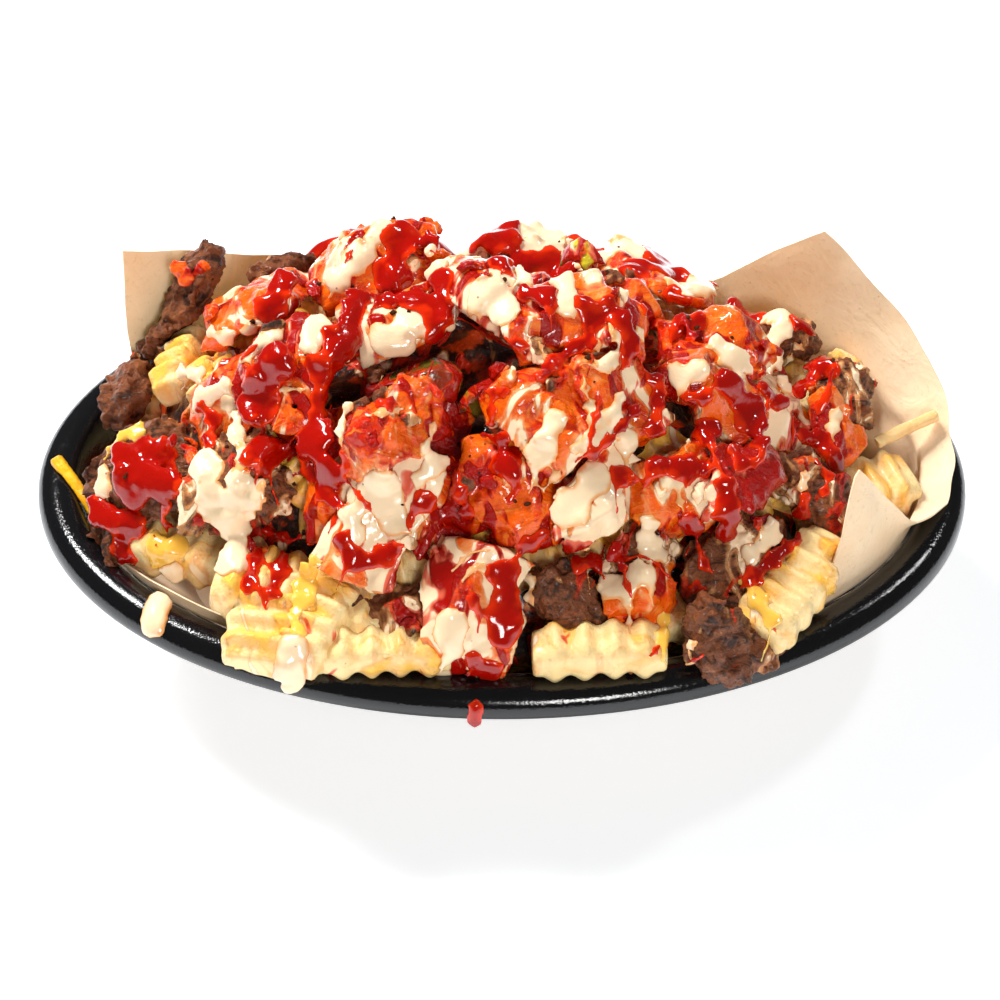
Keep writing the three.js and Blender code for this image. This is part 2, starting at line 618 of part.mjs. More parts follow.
// Toppings, from the lowest to the highest. size is length, width and thickness.
const BEEF = { shape: beefShape, slot: "beef" };
const KIMCHI = { shape: leafShape, slot: "kimchi" };
const CHILLI = { shape: leafShape, slot: "chilli" };
const BAND_ALONG = [
  [
    [-0.8, -0.35],
    [0.75, 0.3],
  ],
];
const BAND_ACROSS = [
  [
    [0.3, -0.85],
    [-0.15, 0.85],
  ],
];
const TOPPINGS = [
  { name: "beef_left_end", ...BEEF, x: -87, y: -20, lift: 3, yaw: 20, size: [38, 30, 13], lumps: 3 },
  { name: "beef_left_rim", ...BEEF, x: -95, y: 16, z: 45, yaw: 60, size: [24, 15, 12], lumps: 3 },
  { name: "beef_back_strip", ...BEEF, x: -82, y: 33, z: 56, yaw: 12, pitch: 36,
    size: [44, 17, 10], lumps: 4 },
  { name: "beef_left_bed", ...BEEF, x: -62, y: -28, lift: 2, yaw: 0, size: [30, 24, 12], lumps: 3 },
  { name: "beef_front_bed", ...BEEF, x: -26, y: -52, lift: 1, yaw: 10, size: [26, 16, 12], lumps: 3 },
  { name: "beef_front_chunk", ...BEEF, x: 15, y: -51, lift: 6, yaw: -25, size: [24, 17, 12], lumps: 3 },
  { name: "beef_front_bit", ...BEEF, x: 30, y: -56, lift: 6, yaw: 10, size: [16, 9, 8], lumps: 2 },
  { name: "beef_front_rim", ...BEEF, x: 53, y: -59, z: 45, yaw: -42, pitch: -14,
    size: [30, 17, 11], lumps: 4 },
  { name: "beef_right_bed", ...BEEF, x: 53, y: -38, lift: 3, yaw: 70, size: [30, 18, 11], lumps: 3 },
  { name: "beef_centre_bed", ...BEEF, x: 32, y: -40, lift: 3, yaw: 20, size: [24, 18, 11], lumps: 3 },
  { name: "beef_right_lump", ...BEEF, x: 72, y: -18, lift: 4, yaw: 15, size: [24, 20, 13], lumps: 3 },
  { name: "beef_right_back", ...BEEF, x: 90, y: 14, z: 54, yaw: 80, size: [22, 18, 16], lumps: 3 },
  { name: "beef_back_right", ...BEEF, x: 70, y: 30, lift: 3, yaw: 20, size: [22, 15, 12], lumps: 2 },
  { name: "beef_back_left", ...BEEF, x: -54, y: 32, lift: 5, yaw: 70, size: [20, 14, 13], lumps: 2 },
  { name: "beef_rear_bed", ...BEEF, x: 8, y: 50, lift: 3, yaw: 5, size: [32, 20, 12], lumps: 3 },
  { name: "kimchi_left_outer", ...KIMCHI, x: -66, y: -4, lift: 5, yaw: 30, size: [34, 26, 6] },
  { name: "kimchi_left_back", ...KIMCHI, x: -60, y: 20, lift: 4, yaw: -20, size: [32, 28, 6] },
  { name: "kimchi_rear_left", ...KIMCHI, x: -38, y: 42, lift: 4, yaw: 10, size: [36, 28, 6] },
  { name: "kimchi_rear_right", ...KIMCHI, x: 36, y: 36, lift: 4, yaw: -15, size: [36, 26, 6] },
  { name: "kimchi_front_heap", ...KIMCHI, x: -7, y: -52, lift: 6, yaw: 80,
    size: [34, 30, 8], drizzle: BAND_ALONG },
  { name: "kimchi_front_right", ...KIMCHI, x: 30, y: -47, lift: 6, yaw: 20, size: [26, 18, 6] },
  { name: "kimchi_right_under", ...KIMCHI, x: 40, y: -28, lift: 5, yaw: 35, size: [32, 22, 7] },
  { name: "kimchi_front_red", ...KIMCHI, x: -12, y: -38, lift: 6, yaw: 60, size: [26, 22, 7] },
  { name: "kimchi_left_red", ...KIMCHI, x: -42, y: -28, lift: 6, yaw: 95,
    size: [30, 22, 7], drizzle: BAND_ALONG },
  { name: "kimchi_right_pink", ...KIMCHI, x: 64, y: -2, lift: 6, yaw: 25,
    size: [34, 28, 7], drizzle: BAND_ALONG },
  { name: "kimchi_right_end", ...KIMCHI, x: 80, y: 2, lift: 5, yaw: 60, size: [24, 20, 6] },
  { name: "kimchi_back_red", ...KIMCHI, x: 0, y: 25, lift: 2, yaw: 8,
    size: [38, 24, 6], drizzle: BAND_ACROSS },
  { name: "kimchi_stem", ...KIMCHI, x: -28, y: -37, lift: 8, yaw: 72,
    size: [36, 22, 6], arch: 2, taper: 0.1 },
  { name: "kimchi_front_flap", ...KIMCHI, x: 3, y: -33, lift: 8, yaw: 100, size: [28, 24, 6] },
  { name: "kimchi_front_pale", ...KIMCHI, x: 19, y: -33, lift: 7, yaw: 55, size: [30, 18, 6], arch: 3 },
  { name: "kimchi_left_inner", ...KIMCHI, x: -48, y: -8, lift: 9, yaw: 75,
    size: [34, 28, 7], drizzle: BAND_ALONG },
  { name: "chilli_centre", ...CHILLI, x: -21, y: -12, lift: 6, yaw: 0, size: [24, 12, 4.5], wave: 0.8 },
  { name: "chilli_strip", ...CHILLI, x: -2, y: -13, lift: 6, yaw: 50, size: [20, 8, 4.5], wave: 0.8 },
  { name: "kimchi_right_mid", ...KIMCHI, x: 46, y: -8, lift: 9, yaw: -30, size: [30, 24, 7] },
  { name: "kimchi_right_low", ...KIMCHI, x: 50, y: -24, lift: 10, yaw: 10, size: [26, 20, 8] },
  { name: "kimchi_right_top", ...KIMCHI, x: 50, y: 10, lift: 9, yaw: 20,
    size: [34, 22, 7], drizzle: BAND_ACROSS },
  { name: "kimchi_back_right", ...KIMCHI, x: 28, y: 14, lift: 8, yaw: 65, size: [30, 20, 7] },
  { name: "kimchi_mid_cream", ...KIMCHI, x: -25, y: 4, lift: 9, yaw: 15, size: [30, 22, 7] },
  { name: "kimchi_orange_low", ...KIMCHI, x: 15, y: -18, lift: 10, yaw: 35,
    size: [40, 30, 9], arch: 7 },
  { name: "kimchi_rough", ...KIMCHI, x: -24, y: -23, lift: 11, yaw: 25, size: [28, 20, 9] },
  { name: "kimchi_peak_pale", ...KIMCHI, x: -5, y: 7, lift: 9, yaw: -40, size: [30, 20, 7] },
  { name: "kimchi_orange_top", ...KIMCHI, x: 14, y: -2, lift: 12, yaw: 15,
    size: [34, 24, 9], arch: 7, drizzle: BAND_ALONG },
  { name: "kimchi_crown", ...KIMCHI, x: -30, y: 20, lift: 12, yaw: 10, roll: 28,
    size: [34, 28, 11], arch: 7, drizzle: BAND_ACROSS },
  { name: "chilli_back", ...CHILLI, x: 18, y: 24, lift: 8, yaw: -20, size: [13, 8, 5], wave: 0.8 },
];
const SHREDS = [
  { name: "cheese_shred_left", x: -108.5, y: -8, z: 41, yaw: -52, pitch: -16,
    length: 22, width: 4, thick: 3.6, bend: 0.6 },
  { name: "cheese_shred_right", x: 101, y: 4, z: 49, yaw: 28, pitch: 6,
    length: 26, width: 4, thick: 3.6, bend: 0.5 },
];

// Materials.
const MATERIALS = {
  basket: new THREE.MeshStandardMaterial({ color: 0x0d0d0f, roughness: 0.3, metalness: 0 }),
  liner: new THREE.MeshStandardMaterial({ color: 0xe6c6a2, roughness: 0.8, metalness: 0 }),
  fries: new THREE.MeshStandardMaterial({ color: 0xeec874, roughness: 0.55, metalness: 0 }),
  beef: new THREE.MeshStandardMaterial({ color: 0x4f2e22, roughness: 0.6, metalness: 0 }),
  kimchi: new THREE.MeshStandardMaterial({ color: 0xc8401c, roughness: 0.3, metalness: 0 }),
  chilli: new THREE.MeshStandardMaterial({ color: 0x4c5a16, roughness: 0.3, metalness: 0 }),
  cheese: new THREE.MeshStandardMaterial({ color: 0xf7a81c, roughness: 0.4, metalness: 0 }),
};

// Fills sealed hollows, drops scraps and joins points that lie together.
function tidied(body) {
  let whole = body;
  for (let round = 0; round < 3; round++) whole = largest(solid(geometryOf(whole), WELD));
  return whole;
}

const model = new THREE.Group();
function show(name, slot, body) {
  const mesh = new THREE.Mesh(geometryOf(tidied(body)), MATERIALS[slot]);
  mesh.name = name;
  model.add(mesh);
}

// What is put together: the basket and liner, the fries, then each topping cut to what it lies on.
const linerBody = liner(0);
show("basket", "basket", basket());
show("liner", "liner", linerBody);

const blockers = [];
function block(rough, close) {
  blockers.push({ rough, close: close ?? rough, box: rough.boundingBox() });
}
block(basketBlock());
block(liner(GAP + SAG));

function near(body) {
  const box = body.boundingBox();
  return blockers.filter((other) =>
    [0, 1, 2].every((k) => box.min[k] < other.box.max[k] && box.max[k] > other.box.min[k]),
  );
}

// Cuts a piece back to what is already there: roughly where they cross at all, then closely.
function clear(body) {
  let cut = body;
  for (const other of near(body)) {
    if (cut.intersect(other.close).volume() < TOUCH) continue;
    cut = cut.subtract(other.rough);
    if (other.close !== other.rough && cut.intersect(other.close).volume() > TOUCH) {
      cut = cut.subtract(other.close);
    }
  }
  return largest(cut);
}

// A fry that would cross the basket or liner is moved inwards until it doesn't.
function movedIn(fry) {
  let moved = { ...fry };
  for (let step = 0; step < MOVES; step++) {
    const bar = solid(placed(fryShape(moved, GAP, true), moved));
    if (near(bar).every((other) => bar.intersect(other.rough).volume() < TOUCH)) return moved;
    moved = { ...moved, x: moved.x * 0.985, y: moved.y * 0.97 };
    if (moved.z !== undefined) moved.z += 0.3;
  }
  return null;
}

let fries = core(0);
let friesRough = core(GAP);
let friesClose = friesRough;
for (const fry of fryList().map(movedIn)) {
  if (!fry) continue;
  fries = fries.add(solid(placed(fryShape(fry, 0), fry)));
  friesRough = friesRough.add(solid(placed(fryShape(fry, GAP + 1, true), fry)));
  friesClose = friesClose.add(solid(placed(fryShape(fry, GAP), fry)));
}
show("fries", "fries", fries);
block(friesRough, friesClose);

// A topping is laid higher until little of it crosses what is under it, and the rest is cut away.
TOPPINGS.forEach((topping, i) => {
  const made = (grow, plain, raised) => {
    const shape = topping.shape({ seed: 11 + 7 * i, ...topping }, grow, plain);
    return solid(placed(shape, { ...topping, lift: (topping.lift ?? 0) + raised }));
  };
  let raised = 0;
  const crossing = () => {
    const body = made(0, false, raised);
    const shared = near(body).map((other) => body.intersect(other.close).volume());
    return shared.reduce((sum, v) => sum + v, 0) / body.volume();
  };
  while (raised < MOST_RAISED && crossing() > MOST_CUT) raised += RAISE_STEP;
  show(topping.name, topping.slot, clear(made(0, false, raised)));
  block(made(GAP + 1, true, raised), made(GAP, false, raised));
});

for (const shred of SHREDS) {
  const made = solid(placed(shredShape(shred, 0), { ...shred, upright: true }));
  show(shred.name, "cheese", clear(made));
}

export default model;
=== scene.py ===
"""Loaded fries in an oval basket: the dressed model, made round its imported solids."""

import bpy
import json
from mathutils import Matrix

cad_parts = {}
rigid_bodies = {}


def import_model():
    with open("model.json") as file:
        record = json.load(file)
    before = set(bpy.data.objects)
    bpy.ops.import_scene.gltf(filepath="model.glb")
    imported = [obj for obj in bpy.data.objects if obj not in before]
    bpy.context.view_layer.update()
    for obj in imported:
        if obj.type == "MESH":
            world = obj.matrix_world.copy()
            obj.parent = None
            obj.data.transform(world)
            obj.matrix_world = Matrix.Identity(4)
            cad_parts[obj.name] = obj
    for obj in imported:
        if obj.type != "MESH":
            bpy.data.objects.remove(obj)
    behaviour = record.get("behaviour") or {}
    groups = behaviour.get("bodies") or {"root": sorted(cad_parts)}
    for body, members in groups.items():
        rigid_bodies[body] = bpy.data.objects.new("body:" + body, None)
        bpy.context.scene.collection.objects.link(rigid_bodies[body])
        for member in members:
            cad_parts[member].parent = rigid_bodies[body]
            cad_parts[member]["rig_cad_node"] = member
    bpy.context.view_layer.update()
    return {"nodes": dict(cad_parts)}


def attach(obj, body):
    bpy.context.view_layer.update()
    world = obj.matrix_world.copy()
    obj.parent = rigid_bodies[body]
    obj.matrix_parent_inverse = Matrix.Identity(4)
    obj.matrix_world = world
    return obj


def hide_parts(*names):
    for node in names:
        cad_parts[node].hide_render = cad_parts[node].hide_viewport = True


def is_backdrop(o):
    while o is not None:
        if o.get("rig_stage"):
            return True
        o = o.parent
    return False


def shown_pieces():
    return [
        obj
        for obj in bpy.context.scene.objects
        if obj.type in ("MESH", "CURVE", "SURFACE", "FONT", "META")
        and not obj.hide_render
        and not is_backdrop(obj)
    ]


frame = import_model()

import json
import math

import bpy
import numpy as np
from bpy.props import FloatProperty, FloatVectorProperty, IntProperty, PointerProperty
from mathutils import Matrix, Vector
from mathutils.bvhtree import BVHTree

bl_info = {
    "name": "Loaded fries in a basket",
    "version": (1, 0, 0),
    "blender": (4, 5, 0),
    "location": "View3D > Sidebar > Fries",
    "description": "Dresses an oval basket of loaded fries, piece by piece",
    "category": "Object",
}

MM = 0.001
TURN = 2 * math.pi


def tint(red, green, blue):
    """A screen colour, 0 to 255, as the light it stands for."""
    def light(value):
        value /= 255
        return value / 12.92 if value <= 0.04045 else ((value + 0.055) / 1.055) ** 2.4
    return (light(red), light(green), light(blue))


def length(label, words, size):
    """A length that the user can change, in metres."""
    return FloatProperty(name=label, description=words, default=size, unit="LENGTH")


def colour(label, words, *screen):
    """A colour that the user can change, given as it shows on a screen."""
    return FloatVectorProperty(name=label, description=words, default=tint(*screen),
                               subtype="COLOR", min=0, max=1)


class BasketSizes(bpy.types.PropertyGroup):
    """The basket's own measures"""
    half_length: length("Half length", "From the middle to the rim's end", 0.12)
    half_width: length("Half width", "From the middle to the rim's side", 0.078)
    wall: length("Wall", "Thickness of the moulded wall", 0.002)
    rounding: length("Rounding", "Rounding of the window edges", 0.0005)
    ribs: IntProperty(name="Ribs", description="Upright ribs round the wall", default=38)


class PaperSizes(bpy.types.PropertyGroup):
    """The paper liner's measures"""
    thickness: length("Thickness", "Thickness of the sheet", 0.0004)
    crease: length("Crease", "Depth of the soft creases", 0.0008)


class FrySizes(bpy.types.PropertyGroup):
    """The cut of the fries"""
    pitch: length("Pitch", "From one crinkle to the next", 0.0072)
    depth: length("Depth", "Half the depth of a crinkle", 0.001)
    core_drop: length("Core drop", "How far the packed middle lies below the heap", 0.0042)


class ToppingSizes(bpy.types.PropertyGroup):
    """Grain and relief of the toppings"""
    leaf_grain: length("Leaf grain", "Finest form kept on a leaf", 0.0006)
    leaf_ruffle: length("Leaf ruffle", "Height of the leaf's ruffles", 0.003)
    meat_grain: length("Meat grain", "Finest form kept on the beef", 0.00055)
    meat_crumb: length("Meat crumb", "Depth of the torn surface", 0.0034)


class SauceSizes(bpy.types.PropertyGroup):
    """How the sauces lie"""
    grain: length("Grain", "Finest form kept in a sauce", 0.0006)
    cream_depth: length("Cream depth", "How thick the pale sauce lies", 0.0009)
    red_depth: length("Red depth", "How thick the red sauce lies", 0.0011)
    step: length("Step", "Distance between the dabs that a run is laid from", 0.00125)


class FoodColours(bpy.types.PropertyGroup):
    """Colours of the food, basket and paper"""
    plastic: colour("Plastic", "The basket", 12, 12, 14)
    paper: colour("Paper", "The sheet in full light", 250, 222, 188)
    paper_deep: colour("Paper deep", "The sheet's darker clouds", 240, 204, 164)
    fry: colour("Fry", "Pale potato", 252, 221, 158)
    fry_gold: colour("Fry gold", "Fried edges and ridges", 240, 182, 84)
    beef: colour("Beef", "Cooked beef", 128, 71, 40)
    beef_deep: colour("Beef deep", "The dark grain of the beef", 52, 27, 15)
    leaf: colour("Leaf", "Cabbage coloured by its pickle", 242, 96, 6)
    leaf_red: colour("Leaf red", "The deeper parts of a leaf", 200, 32, 2)
    chilli: colour("Chilli", "Pickled green chilli", 84, 80, 18)
    chilli_bright: colour("Chilli bright", "The fresh cut edge", 206, 190, 32)
    cream: colour("Cream", "Creamy sauce", 255, 224, 184)
    cream_thin: colour("Cream thin", "Creamy sauce where it is thin", 246, 172, 106)
    red: colour("Red", "Sweet red sauce", 164, 10, 0)
    red_thin: colour("Red thin", "Red sauce where it is thin", 222, 46, 2)
    cheese: colour("Cheese", "Melted cheese", 255, 194, 76)
    shred: colour("Shred", "Unmelted cheese", 255, 188, 22)
    floor: colour("Floor", "What the basket stands on", 241, 246, 252)


# Lesser tones, which break up the colours above.
SCUFF = tint(38, 40, 45)
PAPER_FIBRE = tint(196, 150, 106)
PAPER_FLECK = tint(150, 104, 66)
FRY_BROWN = tint(176, 108, 40)
CHEESE_RIM = tint(248, 160, 44)
# Painted shade: a near-black that stands for the shadow deep in the gaps of the heap.
CORE_DARK = tint(26, 11, 6)
CORE_BROWN = tint(92, 48, 24)
CORE_RED = tint(206, 66, 10)
BEEF_LIGHT = tint(168, 104, 58)
BEEF_CHAR = tint(20, 11, 6)
LEAF_AMBER = tint(250, 140, 40)
CHILLI_FLAKE = tint(120, 10, 3)
CHILLI_DARK = tint(38, 34, 12)
CHILLI_RED = tint(160, 40, 10)
SHRED_DEEP = tint(252, 166, 10)
PALE_SHRED = tint(252, 218, 156)
PALE_SHRED_DEEP = tint(240, 190, 120)
CHEESE_THIN = tint(254, 206, 110)
CHEESE_SPECK = tint(190, 110, 20)
CREAM_SMEAR_SPECK = tint(150, 84, 50)
CREAM_SPECK = tint(120, 60, 30)
RED_SPECK = tint(90, 6, 2)
CRUMB = tint(92, 50, 24)
CRUMB_DARK = tint(30, 15, 8)
FLOOR_CLOUD = tint(238, 242, 247)


# Shaping by hand.
def alone(piece):
    """Selects this piece and nothing else."""
    bpy.ops.object.select_all(action="DESELECT")
    piece.select_set(True)
    bpy.context.view_layer.objects.active = piece


def worked(piece, *steps):
    """Runs edit-mode steps on the whole of a piece."""
    alone(piece)
    bpy.ops.object.mode_set(mode="EDIT")
    bpy.ops.mesh.select_all(action="SELECT")
    for step in steps:
        step()
    bpy.ops.object.mode_set(mode="OBJECT")


def applied(piece, kind, **settings):
    """Adds a modifier and applies it."""
    alone(piece)
    modifier = piece.modifiers.new(kind.title(), kind)
    for label, value in settings.items():
        setattr(modifier, label, value)
    bpy.ops.object.modifier_apply(modifier=modifier.name)


def corners_of(piece):
    """The piece's points, as an array in metres."""
    found = np.empty(len(piece.data.vertices) * 3)
    piece.data.vertices.foreach_get("co", found)
    return found.reshape(-1, 3)


def set_corners(piece, corners):
    """Puts the piece's points at these places."""
    piece.data.vertices.foreach_set("co", np.ascontiguousarray(corners, float).ravel())
    piece.data.update()


def triangles_of(piece):
    """The piece's faces as triangles, each by its three points."""
    piece.data.calc_loop_triangles()
    found = np.empty(len(piece.data.loop_triangles) * 3, np.int32)
    piece.data.loop_triangles.foreach_get("vertices", found)
    return found.reshape(-1, 3)


def relief(piece, pattern, size, depth, direction="NORMAL", **more):
    """Moves a surface by a cloud or cell pattern of one size."""
    texture = bpy.data.textures.new(pattern.lower(), pattern)
    texture.noise_scale = size
    for label, value in more.items():
        setattr(texture, label, value)
    even = pattern == "CLOUDS" and "noise_type" not in more
    applied(piece, "DISPLACE", texture=texture, strength=depth, mid_level=0.5 if even else 0.3,
            direction=direction, texture_coords="GLOBAL")


def remeshed(piece, size):
    applied(piece, "REMESH", mode="VOXEL", voxel_size=size * 1)


def softened(piece, rounds):
    """Rounds off a surface."""
    applied(piece, "SMOOTH", factor=0.5, iterations=rounds)


def drawn_tube(name, columns, rings, place):
    """A circle drawn out ring by ring, whose points then go to their places.

    place takes each point's column and ring, and gives its place in millimetres.
    """
    bpy.ops.object.select_all(action="DESELECT")
    bpy.ops.mesh.primitive_circle_add(vertices=columns, radius=1, fill_type="NOTHING")
    piece = bpy.context.object
    piece.name = name

    def up_one():
        bpy.ops.mesh.extrude_region_move(TRANSFORM_OT_translate={"value": (0, 0, 1)})

    worked(piece, *[up_one] * rings)
    corners = corners_of(piece)
    column = np.rint(np.arctan2(corners[:, 1], corners[:, 0]) / TURN * columns) % columns
    set_corners(piece, place(column, np.rint(corners[:, 2])) * MM)
    worked(piece, lambda: bpy.ops.mesh.remove_doubles(threshold=1e-6))
    return piece


def outward(piece):
    """Turns the faces of closed bodies outwards."""
    worked(piece, lambda: bpy.ops.mesh.normals_make_consistent(inside=False))


def floor_upwards(piece):
    """Turns an open shell so that the middle of its floor faces up."""
    middle = min(piece.data.polygons, key=lambda face: face.center.to_2d().length)
    if middle.normal.z < 0:
        worked(piece, lambda: bpy.ops.mesh.flip_normals())


def finished(piece, finish, slot, *nodes, smooth=None):
    """Gives a piece its finish, and ties it to the body and the solids it stands for."""
    alone(piece)
    if smooth is None:
        bpy.ops.object.shade_smooth()
    else:
        bpy.ops.object.shade_smooth_by_angle(angle=math.radians(smooth))
    bpy.ops.object.transform_apply(location=True, rotation=True, scale=True)
    piece.data.materials.clear()
    piece.data.materials.append(finish)
    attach(piece, "root")
    if nodes:
        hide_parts(*nodes)
    return piece


def joined(name, pieces):
    """Makes one piece of several."""
    bpy.ops.object.select_all(action="DESELECT")
    for piece in pieces:
        piece.select_set(True)
    bpy.context.view_layer.objects.active = pieces[0]
    if len(pieces) > 1:
        bpy.ops.object.join()
    pieces[0].name = name
    return pieces[0]


def solid_copy(node, name):
    """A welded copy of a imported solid, which is left as it is."""
    piece = bpy.data.objects.new(name, frame["nodes"][node].data.copy())
    bpy.context.scene.collection.objects.link(piece)
    worked(piece, lambda: bpy.ops.mesh.customdata_custom_splitnormals_clear(),
           lambda: bpy.ops.mesh.remove_doubles(threshold=1e-5))
    return piece


def many(name, faces, copies):
    """One mesh of many copies of a small body, given the points of each."""
    shapes = [faces + i * len(copies[0]) for i in range(len(copies))]
    mesh = bpy.data.meshes.new(name)
    mesh.from_pydata(np.concatenate(copies).tolist(), [], np.concatenate(shapes).tolist())
    piece = bpy.data.objects.new(name, mesh)
    bpy.context.scene.collection.objects.link(piece)
    return piece


def draws(seed):
    """Even draws from 0 to 1 by a fixed rule."""
    state = seed
    while True:
        state = (state * 1664525 + 1013904223) % 4294967296
        yield state / 4294967296


# Finishes.
class Amount:
    """A number or colour that varies over a surface. Sums on it add their own nodes."""

    def __init__(self, finish, socket):
        self.finish = finish
        self.socket = socket

    def _math(self, operation, first, second):
        return self.finish.add("Math", {"operation": operation}, {0: first, 1: second})

    def __add__(self, other):
        return self._math("ADD", self, other)

    def __radd__(self, other):
        return self._math("ADD", other, self)

    def __sub__(self, other):
        return self._math("SUBTRACT", self, other)

    def __rsub__(self, other):
        return self._math("SUBTRACT", other, self)

    def __mul__(self, other):
        return self._math("MULTIPLY", self, other)

    def __rmul__(self, other):
        return self._math("MULTIPLY", other, self)

    def between(self, low, high):
        """0 up to low, 1 from high on, eased between."""
        return self.finish.add("MapRange", {"interpolation_type": "SMOOTHSTEP"},
                               {"Value": self, "From Min": low, "From Max": high})


class Finish:
    """A material in the making."""

    def __init__(self, name, **fixed):
        self.material = bpy.data.materials.new(name)
        self.material.use_nodes = True
        self.tree = self.material.node_tree
        self.shader = self.tree.nodes["Principled BSDF"]
        for label, value in fixed.items():
            self.shader.inputs[label.replace("_", " ")].default_value = value
        self.place = self.add("TexCoord", out="Object")

    def add(self, kind, settings=None, sockets=None, out=0):
        """Adds a node, sets it, then fills or links its sockets."""
        node = self.tree.nodes.new("ShaderNode" + kind)
        for label, value in (settings or {}).items():
            setattr(node, label, value)
        for key, value in (sockets or {}).items():
            self.plug(node.inputs[key], value)
        return Amount(self, node.outputs[out])

    def plug(self, socket, value):
        """Links a socket to what varies, or sets it to what doesn't."""
        if isinstance(value, Amount):
            self.tree.links.new(value.socket, socket)
        elif socket.type == "RGBA":
            socket.default_value = (*value[:3], 1)
        else:
            socket.default_value = value

    def noise(self, size, detail=3, rough=0.55, stretch=None, warp=0, aside=0):
        """Clouds of a size in metres. aside tells apart patterns of the same size."""
        place = self.place
        if stretch:
            place = self.add("VectorMath", {"operation": "MULTIPLY"}, {0: place, 1: stretch})
        if aside:
            apart = (aside, 2 * aside, 3 * aside)
            place = self.add("VectorMath", {"operation": "ADD"}, {0: place, 1: apart})
        return self.add("TexNoise", None, {"Vector": place, "Scale": 1 / size, "Detail": detail,
                                           "Roughness": rough, "Distortion": warp})

    def sauced(self, c, ground, height, cream, red):
        """Lays smears of both sauces over a ground, for the given cuts in their noise."""
        creamy = self.noise(0.012, 3, 0.45, stretch=(1.2, 0.7, 0.55), warp=1.6, aside=0.31)
        reddish = self.noise(0.0115, 2.5, 0.45, stretch=(1.2, 0.7, 0.55), warp=1.5, aside=0.77)
        speck = self.cells(0.0036).between(0.1, 0.05) * self.noise(0.004, aside=0.2).between(0.5, 0.6)
        cream_thick = creamy.between(cream, cream + 0.035)
        cream_thin = creamy.between(cream - 0.06, cream + 0.01)
        red_thick = reddish.between(red, red + 0.05)
        red_thin = reddish.between(red - 0.035, red)
        tone = self.mix(ground, c.cream_thin, cream_thin * 0.6)
        tone = self.mix(tone, self.mix(c.cream, CREAM_SMEAR_SPECK, speck * 0.6), cream_thick)
        tone = self.mix(tone, c.red_thin, red_thin * 0.85)
        tone = self.mix(tone, c.red, red_thick)
        bare = 1 - cream_thick
        return tone, height * (bare * 0.85 + 0.15) + cream_thick * 0.5 + red_thick * 0.6

    def cells(self, size):
        """How far each place is from the middle of its cell, for cells of a size in metres."""
        return self.add("TexVoronoi", {"feature": "F1"},
                        {"Vector": self.place, "Scale": 1 / size}, out="Distance")

    def attribute(self, name):
        """A number kept with the piece's points."""
        return self.add("Attribute", {"attribute_name": name}, out="Fac")

    def mix(self, first, second, share):
        """The first colour at a share of 0, the second at 1."""
        return self.add("Mix", {"data_type": "RGBA"}, {0: share, 6: first, 7: second}, out=2)

    def done(self, colour, roughness=None, height=None, deep=0.001, strength=1.0):
        """Ends in the material, whose bumps are as deep as given for a height of 1."""
        self.plug(self.shader.inputs["Base Color"], colour)
        if roughness is not None:
            self.plug(self.shader.inputs["Roughness"], roughness)
        if height is not None:
            bump = self.add("Bump", None, {"Strength": strength, "Distance": deep, "Height": height})
            self.plug(self.shader.inputs["Normal"], bump)
        return self.material


def plastic_finish(c):
    f = Finish("black_plastic", Specular_IOR_Level=0.55)
    cloud = f.noise(0.02, 4)
    fine = f.noise(0.0006, 2)
    scuffs = f.noise(0.004, 5, 0.7, stretch=(1, 1, 3)).between(0.6, 0.8)
    rough = 0.05 + cloud * 0.1 + scuffs * 0.14
    return f.done(f.mix(c.plastic, SCUFF, scuffs * 0.5), rough, fine * 0.5 + cloud, 0.00012)


def paper_finish(c):
    f = Finish("kraft_paper", Specular_IOR_Level=0.25, Subsurface_Weight=0.12,
               Subsurface_Radius=(0.004, 0.003, 0.002), Subsurface_Scale=0.5)
    clouds = f.noise(0.022, 4, 0.6).between(0.35, 0.68)
    fibres = f.noise(0.0012, 4, 0.7, stretch=(1, 0.35, 1))
    flecks = f.cells(0.0032).between(0.12, 0.05) * f.noise(0.01).between(0.5, 0.6)
    ground = f.mix(c.paper, c.paper_deep, clouds * 0.75)
    ground = f.mix(ground, PAPER_FIBRE, fibres.between(0.52, 0.75) * 0.3)
    ground = f.mix(ground, PAPER_FLECK, flecks * 0.35)
    crush = f.noise(0.012, 3, 0.6, warp=1.2)
    return f.done(ground, 0.72 + fibres * 0.15, fibres * 0.12 + crush, 0.0007, 0.8)


def fry_finish(c):
    f = Finish("fried_potato", Subsurface_Weight=0.15, Subsurface_Radius=(0.004, 0.003, 0.001),
               Subsurface_Scale=0.6, Coat_Weight=0.25, Coat_Roughness=0.2)
    ridge = f.attribute("ridge")
    patches = f.noise(0.016, 4).between(0.4, 0.7)
    blister = f.noise(0.0022, 4, 0.65)
    gold = (ridge * 0.22 + patches * 0.28 + blister.between(0.55, 0.75) * 0.3).between(0.1, 1.1)
    ground = f.mix(c.fry, c.fry_gold, gold)
    brown = f.noise(0.005, 5, 0.7).between(0.64, 0.78) * ridge
    ground = f.mix(ground, FRY_BROWN, brown * 0.6)
    height = f.add("SeparateXYZ", None, {0: f.place}, out=2)
    melt = f.noise(0.013, 3, 0.5, warp=1.2, aside=0.4) + (height - 0.053) * 8
    thick = melt.between(0.5, 0.66)
    ground = f.mix(ground, CHEESE_RIM, melt.between(0.44, 0.56) * 0.4)
    ground = f.mix(ground, c.cheese, thick)
    ground, bumps = f.sauced(c, ground, blister + f.noise(0.0007, 2) * 0.3 + thick * 0.8, 0.64, 0.7)
    return f.done(ground, 0.3 + blister * 0.25 - thick * 0.1, bumps, 0.0006)


